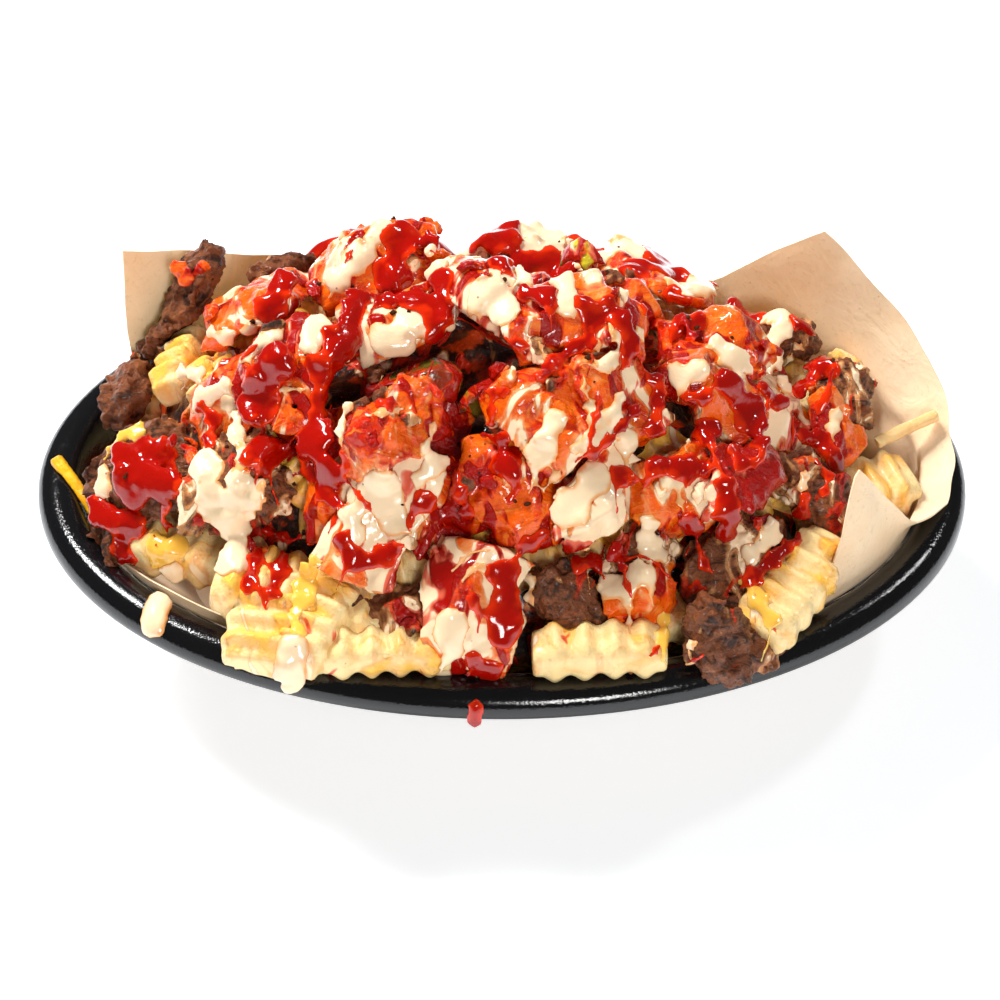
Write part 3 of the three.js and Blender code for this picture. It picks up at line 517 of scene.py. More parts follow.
def core_finish(c):
    f = Finish("packed_middle", Specular_IOR_Level=0.3, Coat_Weight=0.4, Coat_Roughness=0.12,
               Coat_IOR=1.36)
    lumps = f.noise(0.007, 5, 0.65)
    fine = f.noise(0.0016, 3, 0.6)
    # The near-black ground is painted shade for the gaps; the brown lumps over it are beef.
    ground = f.mix(CORE_DARK, CORE_BROWN, lumps.between(0.42, 0.72))
    ground = f.mix(ground, CORE_RED, f.noise(0.01, 4, aside=0.5).between(0.52, 0.6) * 0.8)
    ground, bumps = f.sauced(c, ground, lumps + fine * 0.4, 0.62, 0.57)
    return f.done(ground, 0.25 + fine * 0.2, bumps, 0.0016)


def beef_finish(c, name, sauce):
    """Torn beef. The more sauce, the more of the meat it covers."""
    f = Finish(name, Specular_IOR_Level=0.3, Coat_Weight=0.3, Coat_Roughness=0.2, Coat_IOR=1.36)
    grain = f.noise(0.003, 4, 0.62, stretch=(0.45, 1.4, 1), warp=0.8)
    lumps = f.noise(0.0062, 4, 0.6)
    fine = f.noise(0.0008, 3, 0.7)
    ground = f.mix(c.beef, c.beef_deep, grain.between(0.44, 0.68))
    ground = f.mix(ground, BEEF_LIGHT, lumps.between(0.54, 0.72) * 0.6)
    ground = f.mix(ground, BEEF_CHAR, f.noise(0.005, 3, aside=0.1).between(0.6, 0.72) * 0.8)
    ground, bumps = f.sauced(c, ground, grain + fine * 0.45 + lumps, 0.68 - sauce, 0.74 - sauce)
    return f.done(ground, 0.32 + grain * 0.3, bumps, 0.0012)


def kimchi_finish(c, name, cream, red):
    """A pickled leaf under its sauces, which cover it more the lower their cuts are."""
    f = Finish(name, Subsurface_Weight=0.08, Subsurface_Radius=(0.004, 0.0015, 0.0008),
               Subsurface_Scale=0.6, Specular_IOR_Level=0.25, Coat_Weight=0.8, Coat_Roughness=0.06,
               Coat_IOR=1.36)
    broad = f.noise(0.012, 4, 0.6, warp=0.7)
    ribs = f.noise(0.005, 4, 0.6, stretch=(0.45, 1.4, 0.8), warp=1.1)
    fine = f.noise(0.0013, 3, 0.65)
    ground = f.mix(c.leaf, c.leaf_red, (broad + ribs * 0.35).between(0.64, 0.8))
    ground = f.mix(ground, LEAF_AMBER, ribs.between(0.52, 0.66) * 0.65)
    flakes = f.cells(0.0044).between(0.16, 0.09) * fine.between(0.45, 0.55)
    ground = f.mix(ground, CHILLI_FLAKE, flakes * 0.85)
    ground, bumps = f.sauced(c, ground, ribs * 1.2 + fine * 0.5, cream, red)
    return f.done(ground, 0.14 + fine * 0.2, bumps, 0.0009)


def chilli_finish(c, name, bright):
    """Pickled chilli, with more of the fresh green the higher bright is."""
    f = Finish(name, Coat_Weight=0.6, Coat_Roughness=0.08, Subsurface_Weight=0.08,
               Subsurface_Radius=(0.002, 0.002, 0.001), Subsurface_Scale=0.5)
    cloud = f.noise(0.006, 4, 0.6, warp=0.5)
    fine = f.noise(0.0012, 3)
    ground = f.mix(c.chilli, CHILLI_DARK, cloud.between(0.45, 0.65))
    ground = f.mix(ground, c.chilli_bright, f.noise(0.008, 3).between(0.66 - bright, 0.72 - bright))
    ground = f.mix(ground, CHILLI_RED, f.noise(0.01, 3, warp=1).between(0.5, 0.58) * 0.8)
    ground, bumps = f.sauced(c, ground, cloud + fine * 0.3, 0.62, 0.56)
    return f.done(ground, 0.18 + fine * 0.15, bumps, 0.001)


def cheese_finish(name, near, far):
    """Unmelted cheese in two close tones."""
    f = Finish(name, Subsurface_Weight=0.2, Subsurface_Radius=(0.005, 0.003, 0.001),
               Subsurface_Scale=0.5, Coat_Weight=0.3, Coat_Roughness=0.15)
    cloud = f.noise(0.008, 4, 0.6)
    fine = f.noise(0.0016, 3, 0.6)
    ground = f.mix(near, far, cloud.between(0.35, 0.7))
    return f.done(ground, 0.28 + fine * 0.2, fine + cloud, 0.0004)


SOFT_GLOW = {"Subsurface_Weight": 0.15, "Subsurface_Radius": (0.004, 0.002, 0.001),
             "Subsurface_Scale": 0.5}


def crumb_finish():
    f = Finish("browned_crumb", Specular_IOR_Level=0.1)
    cloud = f.noise(0.0008, 3)
    return f.done(f.mix(CRUMB, CRUMB_DARK, cloud), 0.7, cloud, 0.0003)


def sauce_finish(name, thick, thin, speck, specks, gloss, reach, **fixed):
    """A sauce whose colour deepens with how thick it lies."""
    f = Finish(name, **fixed)
    depth = f.attribute("depth").between(0.1, reach)
    cloud = f.noise(0.01, 4, 0.6, warp=0.8)
    fine = f.noise(0.0016, 3, 0.6)
    ground = f.mix(thin, thick, (depth + cloud * 0.5 - 0.25).between(0, 0.9))
    dots = f.cells(0.0042).between(0.09, 0.045) * f.noise(0.005).between(0.5, 0.58)
    ground = f.mix(ground, speck, dots * specks)
    return f.done(ground, gloss + fine * 0.08, cloud + fine * 0.12, 0.0004)


# The basket. Heights and insets from the rim's outline are in millimetres.
RIM_UNDER = 38.6
RIM_TOP = 42
WALL_TOP_IN = 8.6
WALL_FOOT_IN = 34
RIB_SHARE = 0.24
RIB_STEPS = (0, RIB_SHARE, RIB_SHARE + 0.26, RIB_SHARE + 0.51)  # the rib, then its gap in three
WINDOW_ROWS = ((33, 22), (18, 7.5))  # top and bottom of each open row
FLOOR = 2
INSIDE = 2.2  # from the wall's outside to its inside
WALL_RINGS = (37, 35, 33, 29.3, 25.6, 22, 20, 18, 14.5, 11, 7.5, 5, 3.4, 2.5)
FLOOR_RINGS = ((1.2, 0.05), (5, 0), (20, 0))  # in from the wall's foot, and over the floor
SLOT_PITCH, SLOT_WIDE, SLOT_LONG = 18, 4, 28
SLOT_START, SLOT_ROOM = 7, 12  # from the floor's middle line, and before the wall
SLOT_CUT, SLOT_ROUNDING = 10, 0.8
RIM_SECTION = (  # inset and height, over the rim from its outer foot
    (0.9, 36.0), (0.0, 36.1), (0.0, 37.4), (0.3, 39.0), (1.1, 40.4), (2.4, 41.4),
    (4.2, 41.9), (6.2, 42.0), (8.2, 41.7), (9.8, 40.9), (10.6, 39.8),
)


def oval(sizes, angle, inset):
    """Points of an oval this far inside the rim's outline, in millimetres."""
    return ((sizes.half_length / MM - inset) * np.cos(angle),
            (sizes.half_width / MM - inset) * np.sin(angle))


def wall_inset(z):
    """How far inside the rim's outline the wall stands at this height."""
    down = np.maximum(0, RIM_UNDER - z) / RIM_UNDER
    return WALL_TOP_IN + (WALL_FOOT_IN - WALL_TOP_IN) * down


def even_angles(sizes, shares):
    """The angles at these shares of the way round the oval of the wall."""
    steps, inset = 2880, 15
    fine = (np.arange(steps) + 0.5) / steps * TURN
    speed = np.hypot((sizes.half_length / MM - inset) * np.sin(fine),
                     (sizes.half_width / MM - inset) * np.cos(fine))
    along = np.concatenate([[0], np.cumsum(speed)])
    return np.interp(np.asarray(shares) * along[-1], along, np.linspace(0, TURN, steps + 1))


def basket_shell(sizes):
    """The basket's upper and inner face, its windows cut, then thickened."""
    foot = wall_inset(FLOOR) + INSIDE
    section = np.array([*RIM_SECTION, *((wall_inset(z) + INSIDE, z) for z in WALL_RINGS),
                        *((foot + inward, FLOOR + up) for inward, up in FLOOR_RINGS)])
    rings = len(section)
    shares = [(rib + part) / sizes.ribs for rib in range(sizes.ribs) for part in RIB_STEPS]
    angles = even_angles(sizes, shares)

    def place(column, ring):
        angle = angles[column.astype(int)]
        at = np.minimum(ring.astype(int), rings - 1)
        x, y = oval(sizes, angle, section[at, 0])
        middle = ring >= rings
        x[middle] = y[middle] = 0
        return np.stack([x, y, section[at, 1]], 1)

    piece = drawn_tube("basket_shell", sizes.ribs * len(RIB_STEPS), rings, place)

    def windows():
        """Takes out the faces between the ribs in the two open rows."""
        bpy.ops.mesh.select_mode(type="FACE")
        bpy.ops.mesh.select_all(action="DESELECT")
        bpy.ops.object.mode_set(mode="OBJECT")
        for face in piece.data.polygons:
            x, y, z = face.center / MM
            inset = wall_inset(z) + INSIDE
            angle = math.atan2(y / (sizes.half_width / MM - inset),
                               x / (sizes.half_length / MM - inset)) % TURN
            column = int(np.searchsorted(angles, angle)) - 1
            open_row = any(low < z < high for high, low in WINDOW_ROWS)
            face.select = open_row and column % len(RIB_STEPS) != 0
        bpy.ops.object.mode_set(mode="EDIT")
        bpy.ops.mesh.delete(type="FACE")
        bpy.ops.mesh.select_mode(type="VERT")

    worked(piece, windows)
    floor_upwards(piece)
    applied(piece, "SOLIDIFY", thickness=sizes.wall, offset=-1, use_even_offset=True)
    return piece


def floor_slots(sizes):
    """The slots of the floor, as one cutter."""
    long, wide = sizes.half_length / MM - WALL_FOOT_IN, sizes.half_width / MM - WALL_FOOT_IN

    def rounded():
        bpy.ops.mesh.select_all(action="SELECT")
        bpy.ops.mesh.bevel(offset=SLOT_ROUNDING * MM, segments=2, affect="EDGES")

    cutters = []
    for side in (-1, 1):
        for step in range(-2, 3):
            x = SLOT_PITCH * step
            reach = min(SLOT_LONG, wide * math.sqrt(1 - (x / long) ** 2) - SLOT_ROOM)
            y = side * (SLOT_START + reach / 2)
            bpy.ops.object.select_all(action="DESELECT")
            bpy.ops.mesh.primitive_cube_add(size=1, location=(x * MM, y * MM, 0))
            slot = bpy.context.object
            slot.scale = (SLOT_WIDE * MM, reach * MM, SLOT_CUT * MM)
            bpy.ops.object.transform_apply(location=True, rotation=True, scale=True)
            worked(slot, rounded)
            cutters.append(slot)
    return joined("slots", cutters)


class BasketMaker(bpy.types.Operator):
    """Makes the openwork basket over its solid"""
    bl_idname = "loaded_fries.basket"
    bl_label = "Basket"

    def execute(self, context):
        sizes = context.scene.basket_sizes
        shell = basket_shell(sizes)
        slots = floor_slots(sizes)
        applied(shell, "BOOLEAN", operation="DIFFERENCE", object=slots, solver="EXACT")
        bpy.data.objects.remove(slots)
        applied(shell, "BEVEL", width=sizes.rounding, segments=2, limit_method="ANGLE",
                angle_limit=math.radians(50), harden_normals=False)
        finished(shell, plastic_finish(context.scene.food_colours), "basket", "basket", smooth=50)
        return {"FINISHED"}


# The paper liner.
LINER_EDGE = np.array([  # degrees round the oval, height and inset of the sheet's edge
    (-180, 15, 30), (-166, 24, 22), (-156, 39, 11.6), (-140, 42.6, 9.6), (-122, 42.4, 10),
    (-108, 37, 12), (-80, 34, 14), (-66, 35, 13), (-56, 36, 12), (-48, 40, 12), (-43, 45, 11),
    (-38, 62, 15), (-32, 73, 19), (-27, 63, 17), (-22, 47, 9), (-12, 43.4, 4.5), (5, 46, 2.5),
    (18, 57, 2), (30, 67, 4), (42, 80, 6.5), (50, 68, 8), (58, 54, 9.5), (72, 46, 10), (95, 47, 9.5),
    (112, 54, 7), (126, 62, 4.5), (138, 71, 2.5), (147, 79, 2.5), (151, 60, 7), (155, 38, 12),
    (164, 22, 24), (180, 15, 30),
])
LINER_FLOOR = FLOOR + 0.35
LINER_LEAVES = 42.6  # the height where the sheet leaves the wall
LINER_CLEAR = 0.95  # between the sheet and the wall
LINER_COLUMNS, LINER_RINGS, LINER_FLOOR_RINGS = 240, 30, 6
LINER_WALL = 0.55  # the share of the rings that lie on the wall, where the sheet stands over it
LINER_FLARE = 1.3  # how late the sheet leans out
PAPER_ROOM = 1.8  # what the sheet's creases and the food's own skin need
OVER_EDGE = 4  # how fast food may spread outwards above the sheet's edge


def paper_inset(degrees, z):
    """How far inside the rim food at these heights keeps, to lie against the sheet."""
    edge_z = np.interp(degrees, LINER_EDGE[:, 0], LINER_EDGE[:, 1])
    edge_in = np.interp(degrees, LINER_EDGE[:, 0], LINER_EDGE[:, 2])
    foot = wall_inset(np.minimum(z, LINER_LEAVES)) + INSIDE + LINER_CLEAR
    up = np.clip((z - LINER_LEAVES) / np.maximum(edge_z - LINER_LEAVES, 0.1), 0, 1)
    inset = foot + (edge_in - foot) * up ** LINER_FLARE + PAPER_ROOM
    return inset - OVER_EDGE * np.maximum(0, z - edge_z)


def kept_inside(piece, sizes):
    """Draws in what would pass through the paper, so that it rests against it."""
    corners = corners_of(piece)
    x, y, z = (corners / MM).T
    long, wide = sizes.half_length / MM, sizes.half_width / MM
    inset = paper_inset(np.degrees(np.arctan2(y / wide, x / long)), z)
    reach = np.hypot(x / (long - inset), y / (wide - inset))
    shrink = 1 / np.maximum(reach, 1)
    set_corners(piece, corners * np.stack([shrink, shrink, np.ones_like(shrink)], 1))


class LinerMaker(bpy.types.Operator):
    """Makes the creased sheet of paper that lines the basket"""
    bl_idname = "loaded_fries.liner"
    bl_label = "Paper liner"

    def execute(self, context):
        basket = context.scene.basket_sizes
        sizes = context.scene.paper_sizes

        def place(column, ring):
            degrees = (column / LINER_COLUMNS * 360 + 180) % 360 - 180
            angle = np.radians(degrees)
            edge_z = np.interp(degrees, LINER_EDGE[:, 0], LINER_EDGE[:, 1])
            edge_in = np.interp(degrees, LINER_EDGE[:, 0], LINER_EDGE[:, 2])
            share = np.clip(1 - ring / LINER_RINGS, 0, 1)
            low = edge_z < LINER_LEAVES
            leaves = np.where(low, edge_z, LINER_LEAVES)
            along = np.where(low, share, np.minimum(1, share / LINER_WALL))
            z = LINER_FLOOR + (leaves - LINER_FLOOR) * along
            inset = wall_inset(z) + INSIDE + LINER_CLEAR
            up = np.where(low, 0, np.clip((share - LINER_WALL) / (1 - LINER_WALL), 0, 1))
            inset = inset + (edge_in - inset) * up ** LINER_FLARE
            z = z + (edge_z - LINER_LEAVES) * up * ~low
            # Waves round the sheet, the widest only where it stands over the wall.
            crease = np.sin(angle * 23 + z * 0.11) * 0.5 + np.sin(angle * 41 - z * 0.2 + 2) * 0.3
            crease += np.sin(angle * 9 + z * 0.3) * 0.6 * up
            inset = inset + (0.5 + 0.5 * crease) * sizes.crease / MM * (0.35 + up)
            inward = np.clip((ring - LINER_RINGS) / LINER_FLOOR_RINGS, 0, 1)
            x, y = oval(basket, angle, inset)
            return np.stack([x * (1 - inward), y * (1 - inward), z + inward * 0.1], 1)

        piece = drawn_tube("liner_sheet", LINER_COLUMNS, LINER_RINGS + LINER_FLOOR_RINGS, place)
        floor_upwards(piece)
        applied(piece, "SOLIDIFY", thickness=sizes.thickness, offset=0.8)
        finished(piece, paper_finish(context.scene.food_colours), "liner", "liner", smooth=60)
        return {"FINISHED"}


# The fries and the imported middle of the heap.
HEAP_X, HEAP_Y, HEAP_LONG, HEAP_WIDE = -10, 4, 104, 64  # the middle of its dome, and half its size
CORE_TOP, CORE_RISE = 36, 48
SHOWN_FRIES = (  # x, y, z, yaw, pitch, length, width, thickness
    (-48, -51, 50, -12, -6, 42, 18, 12), (-55, -58.5, 50, 80, 8, 28, 19, 11),
    (-78, -38, 43, -20, 2, 36, 13, 12), (-27.5, -66, 47.2, 2, 0, 31, 10, 9),
    (-43, -60, 50, 62, 6, 26, 12, 11), (23, -66, 47.6, 3, 0, 32, 11, 10),
    (40, -54, 42, 18, 0, 30, 11, 10), (71, -48, 49.5, 52, 6, 34, 15, 10),
    (90, -12, 42, 20, 4, 34, 16, 10), (84, 16, 44, 65, 6, 44, 10, 9.5),
    (28, 42, 54, 62, 54, 42, 11, 10), (-88, 2, 40, 100, 5, 44, 12, 10),
    (-78, 26, 46, 30, 8, 44, 12, 10),
)
REAR_FRIES, REAR_FROM, REAR_OVER, REAR_IN = 6, 30, 122, 27  # number, degrees from and over, inset
TUCKED_FRIES, TUCKED_OUT, TUCKED_DOWN = 26, 0.62, 2.6  # number, share of the dome, depth in it
FRY_COLUMNS, FRY_RINGS, FRY_CAP = 20, 60, 4
FIRST_FRY = (40, 11, 10, 1)  # length, width, thickness and bend
MOVES = 14  # how often a fry may be moved in, away from the wall
MOVED = (0.985, 0.97, 0.3)  # shares of its x and y, and its rise, each time
UNDER_RIM, FRY_CLEAR = 3, 1.2  # from how far under the rim's top a fry keeps clear, and by how much
CORE_COLUMNS = 96
CORE_SIDES = np.array([4.2, 11, 18, 26, 33])  # heights of the rings up its side
CORE_TOPS = np.linspace(0.95, 0.0, 18)  # sizes of the rings over its top
CORE_CLEAR, CORE_LEFT, CORE_LEAST = 4.4, 16, 31  # from the wall, more at the left, least height


def heap_height(x, y):
    """The height of the heap's smooth dome."""
    along, across = (x - HEAP_X) / HEAP_LONG, (y - HEAP_Y) / HEAP_WIDE
    return CORE_TOP + CORE_RISE * (1 - along ** 2 - across ** 2)


def heap_normal(x, y):
    """Which way the dome faces."""
    slope_x = 2 * CORE_RISE * (x - HEAP_X) / HEAP_LONG ** 2
    slope_y = 2 * CORE_RISE * (y - HEAP_Y) / HEAP_WIDE ** 2
    return Vector((slope_x, slope_y, 1)).normalized()


def laid(x, y, z, yaw, pitch, up, lift):
    """The turn and place of a fry that lies on a slope."""
    heading = Vector((math.cos(math.radians(yaw)), math.sin(math.radians(yaw)), 0))
    side = up.cross(heading).normalized()
    ahead = side.cross(up)
    turn = Matrix((ahead, side, up)).transposed() @ Matrix.Rotation(-math.radians(pitch), 3, "Y")
    return np.array(turn), np.array(Vector((x, y, z)) + up * lift)


def fry_points(sizes, long, wide, thick, bend):
    """A crinkle-cut bar's points, by column and ring, and how high each is on its ridge."""
    column, ring = np.meshgrid(np.arange(FRY_COLUMNS), np.arange(FRY_RINGS + 1))
    column, ring = column.ravel(), ring.ravel()
    end = np.minimum(ring, FRY_RINGS - ring)
    # The rounded ends, ring by ring: how wide each is, and how far from the tip.
    scale = np.interp(end, range(FRY_CAP + 1), (0, 0.62, 0.9, 0.975, 1))
    pull = np.interp(end, range(FRY_CAP + 1), (0, 0, 0.25, 0.9, 1.9))
    body = np.clip((ring - FRY_CAP) / (FRY_RINGS - 2 * FRY_CAP), 0, 1)
    x = np.where(end < FRY_CAP, np.sign(ring - FRY_RINGS / 2) * (long / 2 - pull),
                 (body - 0.5) * (long - 3.8))
    waves = max(4, round(long / (sizes.pitch / MM)))
    swell = -np.cos(body * TURN * waves)
    wave = swell * sizes.depth / MM
    angle = (column + 0.5) / FRY_COLUMNS * TURN
    corner = (np.abs(np.cos(angle)) ** 5 + np.abs(np.sin(angle)) ** 5) ** -0.2
    y = corner * np.cos(angle) * (wide / 2 + wave * 0.4) * scale
    z = corner * np.sin(angle) * (thick / 2 + wave) * scale - bend * 4 * (x / long) ** 2
    return np.stack([x, y, z], 1), 0.5 + 0.5 * swell


class FriesMaker(bpy.types.Operator):
    """Makes the crinkle-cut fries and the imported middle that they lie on"""
    bl_idname = "loaded_fries.fries"
    bl_label = "Fries"

    def execute(self, context):
        sizes, basket = context.scene.fry_sizes, context.scene.basket_sizes
        draw = draws(20)
        rows = [(*fry, 0.3 + 0.8 * next(draw), Vector((0, 0, 1)), 0) for fry in SHOWN_FRIES]
        rows += self.rear_fries(draw, basket)
        rows += self.tucked_fries(draw)
        first, order = self.first_fry(sizes)
        fries = [self.another(first, order, sizes, basket, row) for row in rows]
        bpy.data.objects.remove(first)
        heap = joined("fries_heap", fries)
        relief(heap, "CLOUDS", 0.009, 0.0006)
        kept_inside(heap, basket)
        outward(heap)
        finished(heap, fry_finish(context.scene.food_colours), "fries", "fries", smooth=70)
        self.core(context, sizes, basket)
        return {"FINISHED"}

    def rear_fries(self, draw, basket):
        """The rows of the fries on the far side, which lie along the heap's edge."""
        for i in range(REAR_FRIES):
            degrees = REAR_FROM + REAR_OVER * i / (REAR_FRIES - 1) + 4 * (next(draw) - 0.5)
            x, y = oval(basket, math.radians(degrees), REAR_IN + 5 * next(draw))
            yaw = degrees + 90 + (30 if i % 2 else -30) + 16 * (next(draw) - 0.5)
            long, pitch = 28 + 8 * next(draw), 12 * (next(draw) - 0.5)
            yield (x, y, heap_height(x, y), yaw, pitch, long, 10, 9.5,
                   1 + 2 * next(draw), heap_normal(x, y), 0.5)

    def tucked_fries(self, draw):
        """The rows of the fries round the heap that are half sunk in it."""
        for i in range(TUCKED_FRIES):
            angle = TURN * (i + 0.6 * next(draw)) / TUCKED_FRIES
            out = TUCKED_OUT + 0.2 * next(draw)
            x = HEAP_X + 6 + (HEAP_LONG - 8) * out * math.cos(angle)
            y = HEAP_Y - 2 + HEAP_WIDE * out * math.sin(angle)
            yaw = math.degrees(angle) + 90 + 70 * (next(draw) - 0.5)
            pitch, long = 10 * (next(draw) - 0.5), 26 + 14 * next(draw)
            yield (x, y, heap_height(x, y), yaw, pitch, long, 9 + 2 * next(draw), 9,
                   1 + 2 * next(draw), heap_normal(x, y), -TUCKED_DOWN)

    def first_fry(self, sizes):
        """The fry that all the others are copied from, and which listed point each of its own is."""
        points, _ = fry_points(sizes, *FIRST_FRY)
        piece = drawn_tube("fry", FRY_COLUMNS, FRY_RINGS, lambda column, ring: points[
            (ring * FRY_COLUMNS + column).astype(int)])
        own = corners_of(piece) / MM
        return piece, np.array([int(np.argmin(((points - p) ** 2).sum(1))) for p in own])

    def another(self, first, order, sizes, basket, row):
        """A copy of the first fry with its own size and place, moved in until it clears the wall."""
        x, y, z, yaw, pitch, long, wide, thick, bend, up, lift = row
        points, ridge = fry_points(sizes, long, wide, thick, bend)
        fry = first.copy()
        fry.data = first.data.copy()
        bpy.context.scene.collection.objects.link(fry)
        for _ in range(MOVES):
            turn, middle = laid(x, y, z, yaw, pitch, up, lift)
            placed = points @ turn.T + middle
            if self.is_inside(placed, basket):
                break
            x, y, z = x * MOVED[0], y * MOVED[1], z + MOVED[2]
        set_corners(fry, placed[order] * MM)
        shade = fry.data.attributes.new("ridge", "FLOAT", "POINT")
        shade.data.foreach_set("value", ridge[order].astype(np.float32))
        return fry

    def is_inside(self, placed, basket):
        """Whether a fry is clear of the wall and the paper on it."""
        low = placed[placed[:, 2] < RIM_TOP - UNDER_RIM]
        if not len(low):
            return True
        inset = wall_inset(low[:, 2]) + INSIDE + LINER_CLEAR + FRY_CLEAR
        long, wide = basket.half_length / MM - inset, basket.half_width / MM - inset
        return bool((np.hypot(low[:, 0] / long, low[:, 1] / wide) < 1).all())

    def core(self, context, sizes, basket):
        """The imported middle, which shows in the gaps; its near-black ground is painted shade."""
        sides, tops = len(CORE_SIDES), len(CORE_TOPS)

        def place(column, ring):
            angle = column / CORE_COLUMNS * TURN
            ring = ring.astype(int)
            z = CORE_SIDES[np.minimum(ring, sides - 1)]
            left = CORE_LEFT * np.maximum(0, -np.cos(angle - 0.35)) ** 6
            x, y = oval(basket, angle, wall_inset(z) + INSIDE + CORE_CLEAR + left)
            on_top = ring >= sides
            share = np.where(on_top, CORE_TOPS[np.clip(ring - sides, 0, tops - 1)], 1)
            x, y = x * share, y * share
            wave = 2 * np.sin(0.21 * x + 1.1) * np.cos(0.27 * y)
            dome = heap_height(x, y) + wave - sizes.core_drop / MM
            return np.stack([x, y, np.where(on_top, np.maximum(CORE_LEAST, dome), z)], 1)

        piece = drawn_tube("packed_middle", CORE_COLUMNS, sides + tops - 1, place)
        worked(piece, lambda: bpy.ops.mesh.select_all(action="DESELECT"),
               lambda: bpy.ops.mesh.select_non_manifold(),
               lambda: bpy.ops.mesh.edge_face_add())
        outward(piece)
        applied(piece, "SUBSURF", levels=1, render_levels=1)
        relief(piece, "CLOUDS", 0.009, 0.006)
        relief(piece, "CLOUDS", 0.003, 0.0016)
        finished(piece, core_finish(context.scene.food_colours), "fries")


# The toppings.
LEAVES = {  # by the tone of their sauce
    "orange": ("left_outer", "left_back", "rear_left", "rear_right", "front_right",
               "right_under", "right_end", "front_flap", "right_mid", "right_top", "back_right",
               "orange_low", "rough", "orange_top", "crown"),
    "red": ("front_red", "left_red", "back_red", "left_inner", "right_low"),
    "cream": ("front_heap", "right_pink", "stem", "front_pale", "mid_cream", "peak_pale"),
}
SMOOTH_LEAF = 0.5  # the pale leaves' relief, as a share of the others'
CREASED = {"noise_type": "HARD_NOISE", "noise_depth": 2}
DEEP, DEEPER = {"noise_depth": 2}, {"noise_depth": 3}
PULLED = {"cloud_type": "COLOR"}
CHILLI_GRAIN, SHRED_GRAIN, BIT_GRAIN = 0.0006, 0.0005, 0.0005
SAUCY_BEEF = ("left_bed", "front_bed", "right_bed", "centre_bed", "rear_bed", "right_lump", "right_back")


def shaped(node, name, finish, slot, grain, forms, fine, soft):
    """A topping: its solid given the forms of the real thing, then a new skin with the fine ones.

    Each form is a pattern, its size, its depth, the way it moves the surface, and more settings.
    """
    piece = solid_copy(node, name)
    applied(piece, "SUBSURF", subdivision_type="SIMPLE", levels=3, render_levels=3)
    for pattern, size, depth, direction, more in forms:
        relief(piece, pattern, size, depth, direction, **more)
    remeshed(piece, grain)
    softened(piece, soft)
    for pattern, size, depth, direction, more in fine:
        relief(piece, pattern, size, depth, direction, **more)
    kept_inside(piece, bpy.context.scene.basket_sizes)
    return finished(piece, finish, slot, node)


class BeefMaker(bpy.types.Operator):
    """Makes the torn slices of beef from their solids"""
    bl_idname = "loaded_fries.beef"
    bl_label = "Beef"

    def execute(self, context):
        sizes = context.scene.topping_sizes
        colours = context.scene.food_colours
        plain = beef_finish(colours, "beef", 0.0)
        saucy = beef_finish(colours, "beef_in_sauce", 0.13)
        forms = [("CLOUDS", 0.013, 1.7 * sizes.meat_crumb, "RGB_TO_XYZ", PULLED),
                 ("CLOUDS", 0.012, 0.3 * sizes.meat_crumb, "NORMAL", DEEP),
                 ("CLOUDS", 0.008, -1.1 * sizes.meat_crumb, "NORMAL", CREASED),
                 ("VORONOI", 0.005, -0.8 * sizes.meat_crumb, "NORMAL", {"noise_intensity": 1.1})]
        fine = [("CLOUDS", 0.0026, -0.42 * sizes.meat_crumb, "NORMAL", CREASED)]
        for node in sorted(n for n in frame["nodes"] if n.startswith("beef_")):
            saucy_one = node[len("beef_"):] in SAUCY_BEEF
            shaped(node, node + "_slice", saucy if saucy_one else plain, "beef",
                   sizes.meat_grain, forms, fine, 2)
        return {"FINISHED"}


class KimchiMaker(bpy.types.Operator):
    """Makes the ruffled kimchi leaves from their solids"""
    bl_idname = "loaded_fries.kimchi"
    bl_label = "Kimchi"

    def execute(self, context):
        sizes = context.scene.topping_sizes
        colours = context.scene.food_colours
        finishes = {
            "orange": kimchi_finish(colours, "kimchi_orange", 0.585, 0.57),
            "red": kimchi_finish(colours, "kimchi_red", 0.6, 0.46),
            "cream": kimchi_finish(colours, "kimchi_cream", 0.41, 0.6),
        }
        forms = [("CLOUDS", 0.015, 3 * sizes.leaf_ruffle, "RGB_TO_XYZ", PULLED),
                 ("CLOUDS", 0.012, sizes.leaf_ruffle, "Z", {}),
                 ("CLOUDS", 0.009, -0.62 * sizes.leaf_ruffle, "NORMAL", CREASED),
                 ("CLOUDS", 0.0036, 0.2 * sizes.leaf_ruffle, "NORMAL", DEEP)]
        fine = [("CLOUDS", 0.0018, 0.11 * sizes.leaf_ruffle, "NORMAL", DEEP)]
        smooth = [(pattern, size, depth * SMOOTH_LEAF, direction, more)
                  for pattern, size, depth, direction, more in forms]
        rough = [("CLOUDS", 0.0028, 0.0026, "NORMAL", DEEPER)]
        for tone, leaves in LEAVES.items():
            for leaf in leaves:
                shaped("kimchi_" + leaf, "kimchi_%s_leaf" % leaf, finishes[tone], "kimchi",
                       sizes.leaf_grain, smooth if tone == "cream" else forms,
                       rough if leaf == "rough" else fine, 3)
        return {"FINISHED"}


class ChilliMaker(bpy.types.Operator):
    """Makes the pieces of green chilli from their solids"""
    bl_idname = "loaded_fries.chilli"
    bl_label = "Green chilli"

    def execute(self, context):
        colours = context.scene.food_colours
        dark = chilli_finish(colours, "chilli_green", 0.05)
        bright = chilli_finish(colours, "chilli_bright", 0.22)
        forms = [("CLOUDS", 0.006, 0.0012, "NORMAL", {})]
        fine = [("CLOUDS", 0.002, 0.0005, "NORMAL", {})]
        for node in ("chilli_centre", "chilli_strip", "chilli_back"):
            shaped(node, node + "_piece", bright if node == "chilli_back" else dark, "chilli",
                   CHILLI_GRAIN, forms, fine, 3)
        return {"FINISHED"}


